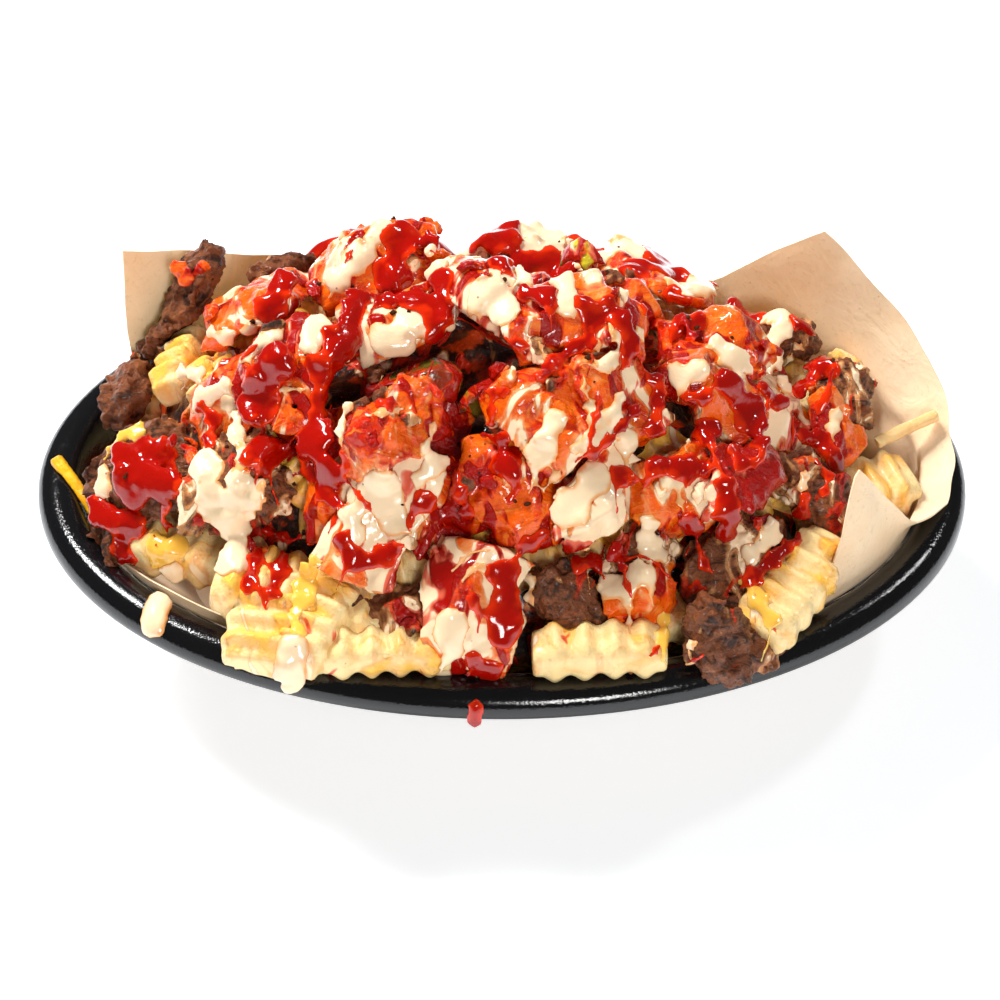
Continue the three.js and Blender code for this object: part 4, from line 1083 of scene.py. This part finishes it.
class ShredMaker(bpy.types.Operator):
    """Makes the two unmelted shreds of cheese from their solids"""
    bl_idname = "loaded_fries.shreds"
    bl_label = "Cheese shreds"

    def execute(self, context):
        c = context.scene.food_colours
        tones = {
            "left": cheese_finish("cheese_yellow", c.shred, SHRED_DEEP),
            "right": cheese_finish("cheese_pale", PALE_SHRED, PALE_SHRED_DEEP),
        }
        for side, finish in tones.items():
            node = "cheese_shred_" + side
            shaped(node, "cheese_%s_strip" % side, finish, "cheese", SHRED_GRAIN,
                   [("CLOUDS", 0.012, 0.0006, "NORMAL", {})],
                   [("CLOUDS", 0.003, 0.0003, "NORMAL", {})], 4)
        return {"FINISHED"}


UNDER_FOOD = ("basket_shell", "liner_sheet")
CRUMBS = 80  # dropped, of which some miss the heap
BITS = (  # name, finish, slot, number, size in millimetres, seed, depth of the tears in metres
    ("kimchi_bits", "kimchi_orange", "kimchi", 60, 4.4, 31, 0.0022),
    ("beef_bits", "beef_in_sauce", "beef", 44, 3.8, 57, 0.0026),
)


def dropped(tree, x, y, oval_half, level, lowest):
    """Where a bit dropped within an oval of the heap rests and how it faces, unless it falls off."""
    if ((x - HEAP_X) / oval_half[0]) ** 2 + ((y - HEAP_Y) / oval_half[1]) ** 2 > 1:
        return None
    hit, normal, _, _ = tree.ray_cast(Vector((x * MM, y * MM, 0.2)), Vector((0, 0, -1)))
    return None if hit is None or normal.z < level or hit.z < lowest else (hit, normal)


class BitsMaker(bpy.types.Operator):
    """Scatters small torn bits of kimchi and beef between the large ones"""
    bl_idname = "loaded_fries.bits"
    bl_label = "Small bits"

    def execute(self, context):
        tree = carrier(*UNDER_FOOD)
        ball, faces = dab()
        for name, finish, slot, count, size, seed, torn in BITS:
            draw = draws(seed)
            copies = []
            while len(copies) < count:
                x = HEAP_X + 94 * (2 * next(draw) - 1)
                y = HEAP_Y + 57 * (2 * next(draw) - 1)
                own = size * (0.55 + 0.75 * next(draw)) * 0.5
                turn = Matrix.Rotation(TURN * next(draw), 3, "Z")
                rest = dropped(tree, x, y, (96, 58), 0.25, 0.05)
                if rest is None:
                    continue
                hit, normal = rest
                turn = np.array(normal.to_track_quat("Z", "Y").to_matrix() @ turn)
                shape = ball * (own * 1.7 * MM, own * MM, own * 0.75 * MM)
                copies.append(shape @ turn.T + np.array(hit + normal * own * 0.25 * MM))
            piece = many(name, faces, copies)
            outward(piece)
            remeshed(piece, BIT_GRAIN)
            relief(piece, "CLOUDS", 0.004, torn * 1.3, "RGB_TO_XYZ", **PULLED)
            relief(piece, "CLOUDS", 0.0026, -torn * 0.6, **CREASED)
            softened(piece, 1)
            finished(piece, bpy.data.materials[finish], slot)
        return {"FINISHED"}


# The sauces. A run is laid as it shows from the front: its width, then its points, in thousandths
# of the picture that the stage's camera takes.
ELEVATION = 46.6  # degrees over the table
DISTANCE = 0.6
AIM = (0, 0, 0.038)
FOCAL = 2.313  # widths of the picture
MIDDLE = (0.502, 0.4746)  # where the aim shows in the picture
PICTURE = FOCAL * 1000 / DISTANCE * MM  # picture thousandths to a millimetre at the heap
HANG = 0.85  # how steeply a sauce hangs over a gap
MOST_HUNG, HUNG_FREE = 0.007, 0.0008  # metres over what lies under a dab
FINGERED, FINGER_SEED = 14, 11  # runs from this width on send fingers down
LEAST_DAB, MOST_DAB, FULL_DAB = 0.0007, 0.0017, 0.0022  # the last lies at its full depth
FAR_DAB = 0.0018
AWAY = -0.12  # past this a surface turns away, and its dabs face the camera instead
THIN_EDGE = 0.35  # how much of a run's depth is lost at its edge
FAR_LOOK = Vector((0, -0.45, -1)).normalized()  # the way the far side's runs are laid

CREAM_RUNS = (
    (24, 331, 288, 345, 272, 360, 255, 376, 236, 388, 222), (22, 425, 250, 440, 262, 428, 280),
    (6, 450, 257, 479, 256, 517, 273), (26, 326, 318, 312, 335, 310, 352),
    (36, 426, 312, 404, 328, 376, 348), (20, 415, 345, 385, 356), (44, 478, 284, 498, 302, 506, 324),
    (24, 452, 322, 448, 332), (14, 240, 410, 237, 440, 253, 468),
    (7, 268, 408, 280, 391, 306, 389), (14, 337, 382, 346, 401, 337, 420, 342, 446),
    (9, 366, 416, 402, 409), (18, 421, 445, 440, 458, 414, 483), (46, 366, 480, 388, 502, 396, 532),
    (22, 350, 505, 356, 545), (22, 518, 281, 556, 272, 568, 293, 563, 316), (8, 591, 329, 599, 352),
    (8, 539, 342, 547, 362), (24, 560, 411, 548, 436, 532, 472), (10, 585, 402, 595, 430, 570, 452),
    (7, 580, 365, 614, 362), (8, 583, 373, 589, 402, 602, 419), (14, 622, 392, 604, 436, 584, 452),
    (24, 625, 429, 626, 456), (34, 600, 466, 585, 494, 556, 520), (20, 660, 478, 684, 487),
    (26, 671, 381, 708, 366), (10, 683, 417, 686, 452), (8, 744, 383, 757, 421),
    (20, 706, 335, 728, 354, 752, 373), (14, 614, 316, 622, 342), (10, 637, 326, 643, 342),
    (16, 772, 363, 787, 382, 795, 395), (14, 795, 342, 804, 350), (16, 838, 407, 832, 434),
    (15, 104, 464, 104, 498), (34, 206, 452, 214, 500, 238, 520, 222, 575), (24, 240, 470, 232, 505),
    (28, 164, 568, 174, 586, 156, 606), (7, 179, 602, 202, 627, 226, 639),
    (36, 449, 612, 453, 658), (7, 453, 572, 468, 554, 490, 551), (8, 462, 582, 478, 564, 488, 580),
    (15, 531, 574, 523, 612, 517, 650), (28, 630, 570, 655, 580), (28, 598, 584, 634, 592),
    (18, 579, 552, 590, 556), (20, 652, 516, 647, 544, 668, 560), (17, 776, 508, 767, 539, 744, 558),
    (16, 690, 640, 694, 650), (12, 262, 478, 250, 520), (12, 205, 330, 232, 338, 262, 326),
    (16, 216, 362, 250, 352, 284, 330), (14, 176, 372, 206, 376), (18, 232, 384, 205, 398, 190, 415),
    (12, 700, 455, 690, 470), (12, 560, 470, 548, 486), (14, 436, 420, 430, 436),
    (10, 720, 600, 735, 585),
    (12, 806, 470, 800, 492), (14, 620, 345, 600, 372), (10, 505, 455, 512, 470, 505, 486),
)
RED_RUNS = (
    (36, 402, 224, 400, 250, 391, 276, 384, 290), (9, 430, 251, 434, 252), (12, 345, 262, 352, 250),
    (13, 423, 239, 469, 244, 498, 263, 513, 277), (33, 352, 292, 352, 319, 341, 343, 327, 354),
    (24, 444, 269, 441, 300, 437, 319, 434, 350), (18, 383, 299, 431, 302), (14, 410, 290, 436, 286),
    (25, 290, 272, 272, 303, 264, 322), (24, 285, 347, 268, 364, 248, 398),
    (34, 284, 352, 264, 392, 252, 425), (46, 262, 440, 268, 470), (24, 307, 366, 344, 362),
    (20, 322, 391, 316, 420), (28, 330, 372, 326, 392), (42, 306, 432, 326, 452, 336, 484),
    (14, 300, 450, 318, 482, 338, 510), (15, 480, 249, 536, 263), (16, 518, 292, 550, 298, 549, 316),
    (20, 587, 297, 584, 312, 602, 327), (16, 604, 297, 629, 335, 625, 358),
    (20, 645, 312, 670, 320, 648, 338), (18, 667, 287, 688, 308), (12, 637, 300, 650, 306),
    (14, 595, 335, 555, 362, 538, 381), (32, 499, 455, 518, 480), (30, 625, 469, 618, 487),
    (22, 645, 465, 712, 470), (22, 674, 327, 706, 318), (12, 681, 396, 714, 397),
    (34, 704, 420, 712, 446), (28, 719, 374, 748, 411, 762, 448), (26, 762, 374, 786, 407),
    (24, 820, 362, 840, 376), (12, 810, 409, 828, 403), (13, 838, 348, 862, 342, 886, 363, 889, 391),
    (15, 795, 433, 825, 441, 838, 468), (26, 112, 458, 145, 452, 178, 456),
    (54, 118, 484, 150, 480, 176, 490),
    (28, 90, 500, 110, 520, 146, 530), (22, 116, 536, 126, 556, 132, 566), (9, 154, 536, 156, 545),
    (14, 262, 536, 256, 560, 246, 594), (16, 287, 544, 281, 570, 272, 598), (8, 252, 527, 313, 545),
    (7, 350, 484, 371, 510), (26, 415, 507, 436, 496), (18, 338, 534, 362, 563, 404, 544),
    (32, 501, 562, 506, 600, 501, 648), (15, 472, 593, 476, 612), (16, 549, 530, 514, 556),
    (18, 466, 655, 500, 676), (4, 625, 560, 646, 557, 669, 577), (18, 571, 565, 602, 562),
    (22, 594, 543, 622, 554), (24, 686, 514, 697, 540), (16, 698, 560, 712, 573),
    (12, 690, 586, 706, 589), (22, 724, 477, 728, 512, 724, 542), (12, 757, 508, 758, 530),
    (13, 807, 491, 794, 535, 770, 562, 740, 588), (14, 800, 437, 832, 454, 835, 474),
    (8, 690, 662, 704, 656), (10, 650, 655, 660, 646), (12, 168, 440, 200, 446),
    (12, 196, 404, 214, 420, 206, 448), (9, 258, 345, 236, 358, 222, 364),
    (12, 180, 398, 194, 396), (10, 640, 360, 655, 382), (10, 575, 462, 600, 448, 640, 404),
    (12, 455, 470, 462, 500, 470, 520), (14, 486, 392, 510, 392), (10, 433, 380, 440, 398),
    (10, 500, 340, 530, 346), (12, 372, 402, 396, 404), (16, 655, 375, 660, 395, 652, 440),
    (12, 480, 430, 510, 440), (12, 730, 445, 745, 470), (8, 600, 400, 590, 440),
)
CHEESE_RUNS = (
    (18, 112, 436, 146, 431), (26, 146, 546, 188, 547), (16, 150, 560, 178, 566),
    (20, 312, 556, 306, 585, 302, 612), (12, 290, 610, 300, 640, 296, 655),
    (15, 663, 612, 667, 664), (16, 744, 574, 758, 600, 776, 626),
)
# Runs over the rim, which lie on the basket too.
CREAM_DRIPS = ((20, 166, 596, 156, 610, 152, 636), (26, 296, 636, 290, 668, 288, 692))
RED_DRIPS = ((13, 476, 700, 475, 716, 474, 727),)

FAR_RUNS = (  # runs on the far side, laid from above: width, then points in the basket's plan
    (7, -44, 26, -30, 44, -36, 52), (5, -22, 34, -8, 52, -14, 56),
    (8, 0, 34, 14, 52, 4, 58), (5, 20, 30, 34, 48, 28, 56), (7, 44, 22, 56, 40, 46, 48),
    (5, 66, 16, 74, 30, 64, 38), (6, -50, 44, -20, 50, 10, 46, 40, 42),
)
FAR_REDS = (
    (6, -36, 28, -20, 50, -28, 56), (8, -12, 36, 2, 54, -6, 58),
    (6, 10, 32, 24, 50, 18, 56), (8, 32, 26, 46, 44, 38, 50), (6, 54, 18, 66, 36, 56, 42),
    (6, 76, 10, 84, 22, 76, 30), (5, -56, 42, -40, 46, -10, 42, 26, 46),
)


def to_camera():
    """The way from what the camera is aimed at to the camera."""
    tilt = math.radians(ELEVATION)
    return Vector((0, -math.cos(tilt), math.sin(tilt)))


def sight(u, v):
    """Where the camera stands and which way it looks through a point of its picture."""
    back = to_camera()
    up = back.cross(Vector((1, 0, 0)))
    across = Vector((1, 0, 0)) * ((u / 1000 - MIDDLE[0]) / FOCAL)
    ray = across - up * ((v / 1000 - MIDDLE[1]) / FOCAL) - back
    return Vector(AIM) + back * DISTANCE, ray.normalized()


def carrier(*left_out):
    """A tree of what a sauce can lie on: the dressed pieces so far, but for those left out."""
    corners, faces, count = [], [], 0
    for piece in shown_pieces():
        if piece.name in left_out or "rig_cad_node" in piece:
            continue
        corners.append(corners_of(piece))
        faces.append(triangles_of(piece) + count)
        count += len(corners[-1])
    return BVHTree.FromPolygons(np.concatenate(corners).tolist(), np.concatenate(faces).tolist())


def dab():
    """A small ball's points and faces, taken from Blender's own."""
    bpy.ops.object.select_all(action="DESELECT")
    bpy.ops.mesh.primitive_ico_sphere_add(subdivisions=2, radius=1)
    ball = bpy.context.object
    shape = corners_of(ball), triangles_of(ball)
    bpy.data.objects.remove(ball)
    return shape


def run_samples(points, width, step, seed, waver=1.0):
    """Even samples along and across a run, whose edge wavers.

    Each is its place, its share of the half width, and the half width there.
    """
    draw = draws(seed)
    points = np.array(points, float).reshape(-1, 2)
    if len(points) > 2:
        fine = np.linspace(0, len(points) - 1, 8 * len(points))
        points = smooth_line(points, fine)
    gaps = np.hypot(*np.diff(points, axis=0).T)
    along = np.concatenate([[0], np.cumsum(gaps)])
    count = max(2, int(along[-1] / step) + 1)
    phase = [TURN * next(draw) for _ in range(4)]
    for i in range(count):
        at = along[-1] * i / (count - 1)
        before, middle, after = (np.array([np.interp(where, along, points[:, k]) for k in (0, 1)])
                                 for where in (max(at - step, 0), at, min(at + step, along[-1])))
        ahead = after - before
        ahead /= np.hypot(*ahead) + 1e-9
        across = np.array([-ahead[1], ahead[0]])
        swell = 1 + waver * (0.28 * math.sin(at * 3.1 / width + phase[0])
                             + 0.14 * math.sin(at * 7.3 / width + phase[1]))
        edge = min(i, count - 1 - i) * step / (0.5 * width)
        half = 0.5 * width * swell * math.sqrt(max(0.12, min(1, 1 - (1 - min(edge, 1)) ** 2)))
        lanes = max(1, int(round(2 * half / step)))
        for lane in range(lanes):
            side = 0 if lanes == 1 else (lane / (lanes - 1) * 2 - 1)
            side *= 1 + waver * 0.2 * math.sin(at * 5.7 / width + phase[2 if side > 0 else 3])
            wobble = 0.3 * step * (next(draw) - 0.5)
            yield middle + across * (side * max(0, half - 0.45 * step) + wobble), abs(side), half


def with_fingers(runs):
    """The runs, with thin fingers of sauce that run down from the broad ones."""
    draw = draws(FINGER_SEED)
    for width, *points in runs:
        broad = width >= FINGERED
        yield (width * (0.88 if broad else 1), *points)
        line = np.array(points, float).reshape(-1, 2)
        for _ in range(round(width / FINGERED) if broad else 0):
            u, v = line[0]
            if len(line) > 1:
                u, v = smooth_line(line, np.array([next(draw) * (len(line) - 1)]))[0]
            u += width * 0.6 * (next(draw) - 0.5)
            fall, lean = 14 + 30 * next(draw), 26 * (next(draw) - 0.5)
            yield (4 + 5 * next(draw), u, v, u + lean * 0.3, v + fall * 0.5, u + lean, v + fall)


def smooth_line(points, at):
    """A smooth line through points, by share of their number."""
    before = np.clip(at.astype(int), 0, len(points) - 2)
    t = (at - before)[:, None]
    p1, p2 = points[before], points[before + 1]
    p0, p3 = points[np.maximum(before - 1, 0)], points[np.minimum(before + 2, len(points) - 1)]
    return 0.5 * (2 * p1 + (p2 - p0) * t + (2 * p0 - 5 * p1 + 4 * p2 - p3) * t ** 2
                  + (3 * p1 - p0 - 3 * p2 + p3) * t ** 3)


def sauce(name, finish, slot, tree, runs, far_runs, deep, hung_most=MOST_HUNG, waver=1.0):
    """A sauce laid run by run on what carries it, as one body with rounded edges."""
    sizes = bpy.context.scene.sauce_sizes
    ball, faces = dab()
    copies = []

    def lay(samples, scale, rays, widths):
        """Lays one run: each dab on what its ray meets, or hung from its neighbours over a gap."""
        hits = [tree.ray_cast(origin, ray) for origin, ray in rays]
        deeps = np.array([hit[3] if hit[0] else 9.0 for hit in hits])
        if deeps.min() > 8:
            return
        places = np.array([place / scale for place, _, _ in samples])
        apart = np.hypot(*(places[:, None] - places[None]).transpose(2, 0, 1)) * MM
        hung = (deeps[None] + apart * HANG).min(1)
        for i, (origin, ray) in enumerate(rays):
            own, limit, size, share = deeps[i], hung[i], widths[i], samples[i][1]
            free = own > limit + HUNG_FREE
            if free and own > limit + hung_most:
                continue
            facing = hits[i][1]
            normal = -ray if facing is None or facing.dot(ray) > AWAY or free else facing
            turn = np.array(normal.to_track_quat("Z", "Y").to_matrix())
            rise = deep * (1 - THIN_EDGE * share ** 2) * min(1, 0.5 + size / FULL_DAB)
            middle = origin + ray * min(own, limit) + normal * (rise * 0.15)
            copies.append((ball * (size, size, rise)) @ turn.T + np.array(middle))

    for seed, (width, *points) in enumerate(runs):
        samples = list(run_samples(points, width, sizes.step / MM * PICTURE, seed + 3, waver))
        widths = [min(MOST_DAB, max(LEAST_DAB, half / PICTURE * MM * 0.8)) for _, _, half in samples]
        lay(samples, PICTURE, [sight(*place) for place, _, _ in samples], widths)
    for seed, (width, *points) in enumerate(far_runs):
        samples = list(run_samples(points, width, sizes.step / MM, seed + 90))
        rays = [(Vector((x * MM, y * MM, 0.06)) - FAR_LOOK * 0.2, FAR_LOOK) for (x, y), _, _ in samples]
        lay(samples, 1, rays, [FAR_DAB] * len(samples))
    piece = many(name, faces, copies)
    remeshed(piece, sizes.grain)
    softened(piece, 14)
    relief(piece, "CLOUDS", 0.009, 0.0006)
    depth = piece.data.attributes.new("depth", "FLOAT", "POINT")
    far = [min(1.0, tree.find_nearest(v.co)[3] / (2 * deep)) for v in piece.data.vertices]
    depth.data.foreach_set("value", np.array(far, np.float32))
    return finished(piece, finish, slot)


class CheeseMaker(bpy.types.Operator):
    """Lays the melted cheese over the fries"""
    bl_idname = "loaded_fries.melted_cheese"
    bl_label = "Melted cheese"

    def execute(self, context):
        c, s = context.scene.food_colours, context.scene.sauce_sizes
        finish = sauce_finish("melted_cheese", c.cheese, CHEESE_THIN, CHEESE_SPECK, 0.3, 0.16, 0.5,
                              Coat_Weight=0.6, Coat_Roughness=0.08, **SOFT_GLOW)
        tree = carrier(*UNDER_FOOD)
        sauce("melted_cheese_run", finish, "cheese", tree, with_fingers(CHEESE_RUNS), (),
              s.cream_depth * 0.85)
        return {"FINISHED"}


class CreamMaker(bpy.types.Operator):
    """Lays the creamy sauce, with its drips over the rim"""
    bl_idname = "loaded_fries.cream_sauce"
    bl_label = "Creamy sauce"

    def execute(self, context):
        c, s = context.scene.food_colours, context.scene.sauce_sizes
        finish = sauce_finish("cream_sauce", c.cream, c.cream_thin, CREAM_SPECK, 0.75, 0.2, 0.5,
                              Coat_Weight=0.5, Coat_Roughness=0.1, **SOFT_GLOW)
        tree = carrier(*UNDER_FOOD)
        sauce("cream_sauce_runs", finish, "kimchi", tree, with_fingers(CREAM_RUNS), FAR_RUNS,
              s.cream_depth)
        rim = carrier()
        sauce("cream_sauce_drips", finish, "kimchi", rim, CREAM_DRIPS, (), s.cream_depth * 1.8,
              waver=0.1)
        return {"FINISHED"}


class RedMaker(bpy.types.Operator):
    """Lays the red sauce over the creamy one"""
    bl_idname = "loaded_fries.red_sauce"
    bl_label = "Red sauce"

    def execute(self, context):
        c, s = context.scene.food_colours, context.scene.sauce_sizes
        finish = sauce_finish("red_sauce", c.red, c.red_thin, RED_SPECK, 0.5, 0.07, 0.62,
                              Specular_IOR_Level=0.2, Coat_Weight=1.0, Coat_Roughness=0.03,
                              Coat_IOR=1.38)
        tree = carrier(*UNDER_FOOD)
        sauce("red_sauce_runs", finish, "kimchi", tree, with_fingers(RED_RUNS), FAR_REDS, s.red_depth)
        rim = carrier()
        sauce("red_sauce_drip", finish, "kimchi", rim, RED_DRIPS, (), s.red_depth * 1.2,
              hung_most=10, waver=0.1)
        return {"FINISHED"}


class CrumbMaker(bpy.types.Operator):
    """Scatters crumbs of beef over the heap"""
    bl_idname = "loaded_fries.crumbs"
    bl_label = "Crumbs"

    def execute(self, context):
        tree = carrier("basket_shell")
        ball, faces = dab()
        draw = draws(77)
        copies = []
        for _ in range(CRUMBS):
            x = HEAP_X + 98 * (2 * next(draw) - 1)
            y = HEAP_Y + 60 * (2 * next(draw) - 1)
            size = (0.25 + 0.5 * next(draw) ** 2) * MM
            warp = [next(draw) for _ in range(6)]
            rest = dropped(tree, x, y, (100, 62), 0.3, 0.035)
            if rest is None:
                continue
            hit, normal = rest
            ways = np.array([3 + warp[0], 2 + warp[1], 4 * warp[2]])
            lump = 1 + 0.35 * np.sin(ball @ ways * 2 + 6 * warp[3])
            shape = ball * lump[:, None] * (size * (0.8 + 0.6 * warp[4]), size, size * 0.7)
            turn = np.array(Matrix.Rotation(TURN * warp[5], 3, "Z"))
            copies.append(shape @ turn.T + np.array(hit + normal * size * 0.3))
        piece = many("beef_crumbs", faces, copies)
        outward(piece)
        finished(piece, crumb_finish(), "beef")
        return {"FINISHED"}


LAMPS = (  # name, place, side, watts, colour
    ("window", (-0.7, 0.7, 1.0), 0.6, 25, (1, 0.985, 0.96)),
    ("spark", (-0.45, 0.5, 0.95), 0.14, 6, (1, 1, 1)),
    ("right_spark", (0.6, 0.4, 0.9), 0.1, 1.5, (1, 1, 1)),
    ("fill", (0.25, -1.0, 0.75), 0.3, 8, (1, 0.985, 0.96)),
)
FLOOR_SIZE = 16
FLOOR_GLOW = 0.51  # keeps the floor pale where the lamps hardly reach
ROOM_LIGHT = 0.1


class StageMaker(bpy.types.Operator):
    """Sets the pale floor, the soft light and the camera"""
    bl_idname = "loaded_fries.stage"
    bl_label = "Stage"

    def execute(self, context):
        scene = context.scene
        self.floor(scene.food_colours)
        scene.world = bpy.data.worlds.new("soft_room")
        scene.world.use_nodes = True
        light = scene.world.node_tree.nodes["Background"].inputs
        light["Color"].default_value = (1, 1, 1, 1)
        light["Strength"].default_value = ROOM_LIGHT
        for lamp in LAMPS:
            self.lamp(*lamp)
        scene.camera = self.camera()
        scene.view_settings.view_transform = "Standard"
        return {"FINISHED"}

    def floor(self, colours):
        """A plain floor, wide enough to fill every view."""
        bpy.ops.object.select_all(action="DESELECT")
        bpy.ops.mesh.primitive_plane_add(size=FLOOR_SIZE)
        floor = bpy.context.object
        floor.name = "floor"
        f = Finish("pale_floor", Roughness=0.6, Specular_IOR_Level=0.2)
        cloud = f.noise(0.3, 2)
        floor.data.materials.append(f.done(f.mix(colours.floor, FLOOR_CLOUD, cloud)))
        f.shader.inputs["Emission Color"].default_value = (1, 1, 1, 1)
        f.shader.inputs["Emission Strength"].default_value = FLOOR_GLOW
        floor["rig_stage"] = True

    def lamp(self, name, place, side, watts, shade):
        """A square lamp that shines on the basket. The window doesn't show in what is glossy."""
        data = bpy.data.lights.new(name, "AREA")
        data.shape = "RECTANGLE"
        data.size = data.size_y = side
        data.energy = watts
        data.color = shade
        lamp = bpy.data.objects.new(name, data)
        lamp.location = place
        lamp.rotation_euler = (Vector(AIM) - Vector(place)).to_track_quat("-Z", "Y").to_euler()
        lamp.visible_glossy = name != "window"
        bpy.context.scene.collection.objects.link(lamp)

    def camera(self):
        """The camera that takes the photo's view."""
        data = bpy.data.cameras.new("front_camera")
        camera = bpy.data.objects.new("front_camera", data)
        bpy.context.scene.collection.objects.link(camera)
        camera.location = Vector(AIM) + to_camera() * DISTANCE
        camera.rotation_euler = (math.radians(90 - ELEVATION), 0, 0)
        data.sensor_width = 36
        data.lens = FOCAL * data.sensor_width
        data.shift_x = 0.5 - MIDDLE[0]
        data.shift_y = MIDDLE[1] - 0.5
        data.clip_start, data.clip_end = 0.01, 50
        data.dof.use_dof = False
        return camera


class FriesPanel(bpy.types.Panel):
    """Lists the makers in the order of their work"""
    bl_idname = "VIEW3D_PT_loaded_fries"
    bl_label = "Loaded fries"
    bl_space_type = "VIEW_3D"
    bl_region_type = "UI"
    bl_category = "Fries"

    def draw(self, context):
        for maker in MAKERS:
            self.layout.operator(maker.bl_idname)


GROUPS = {
    "basket_sizes": BasketSizes, "paper_sizes": PaperSizes, "fry_sizes": FrySizes,
    "topping_sizes": ToppingSizes, "sauce_sizes": SauceSizes, "food_colours": FoodColours,
}
MAKERS = (BasketMaker, LinerMaker, FriesMaker, BeefMaker, KimchiMaker, ChilliMaker, ShredMaker,
          BitsMaker, CheeseMaker, CreamMaker, RedMaker, CrumbMaker, StageMaker)


def register():
    for kind in (*GROUPS.values(), *MAKERS, FriesPanel):
        bpy.utils.register_class(kind)
    for name, group in GROUPS.items():
        setattr(bpy.types.Scene, name, PointerProperty(type=group))


def unregister():
    for name in GROUPS:
        delattr(bpy.types.Scene, name)
    for kind in reversed((*GROUPS.values(), *MAKERS, FriesPanel)):
        bpy.utils.unregister_class(kind)


def main():
    register()
    for maker in MAKERS:
        group, name = maker.bl_idname.split(".")
        getattr(getattr(bpy.ops, group), name)()


if __name__ == "__main__":
    main()
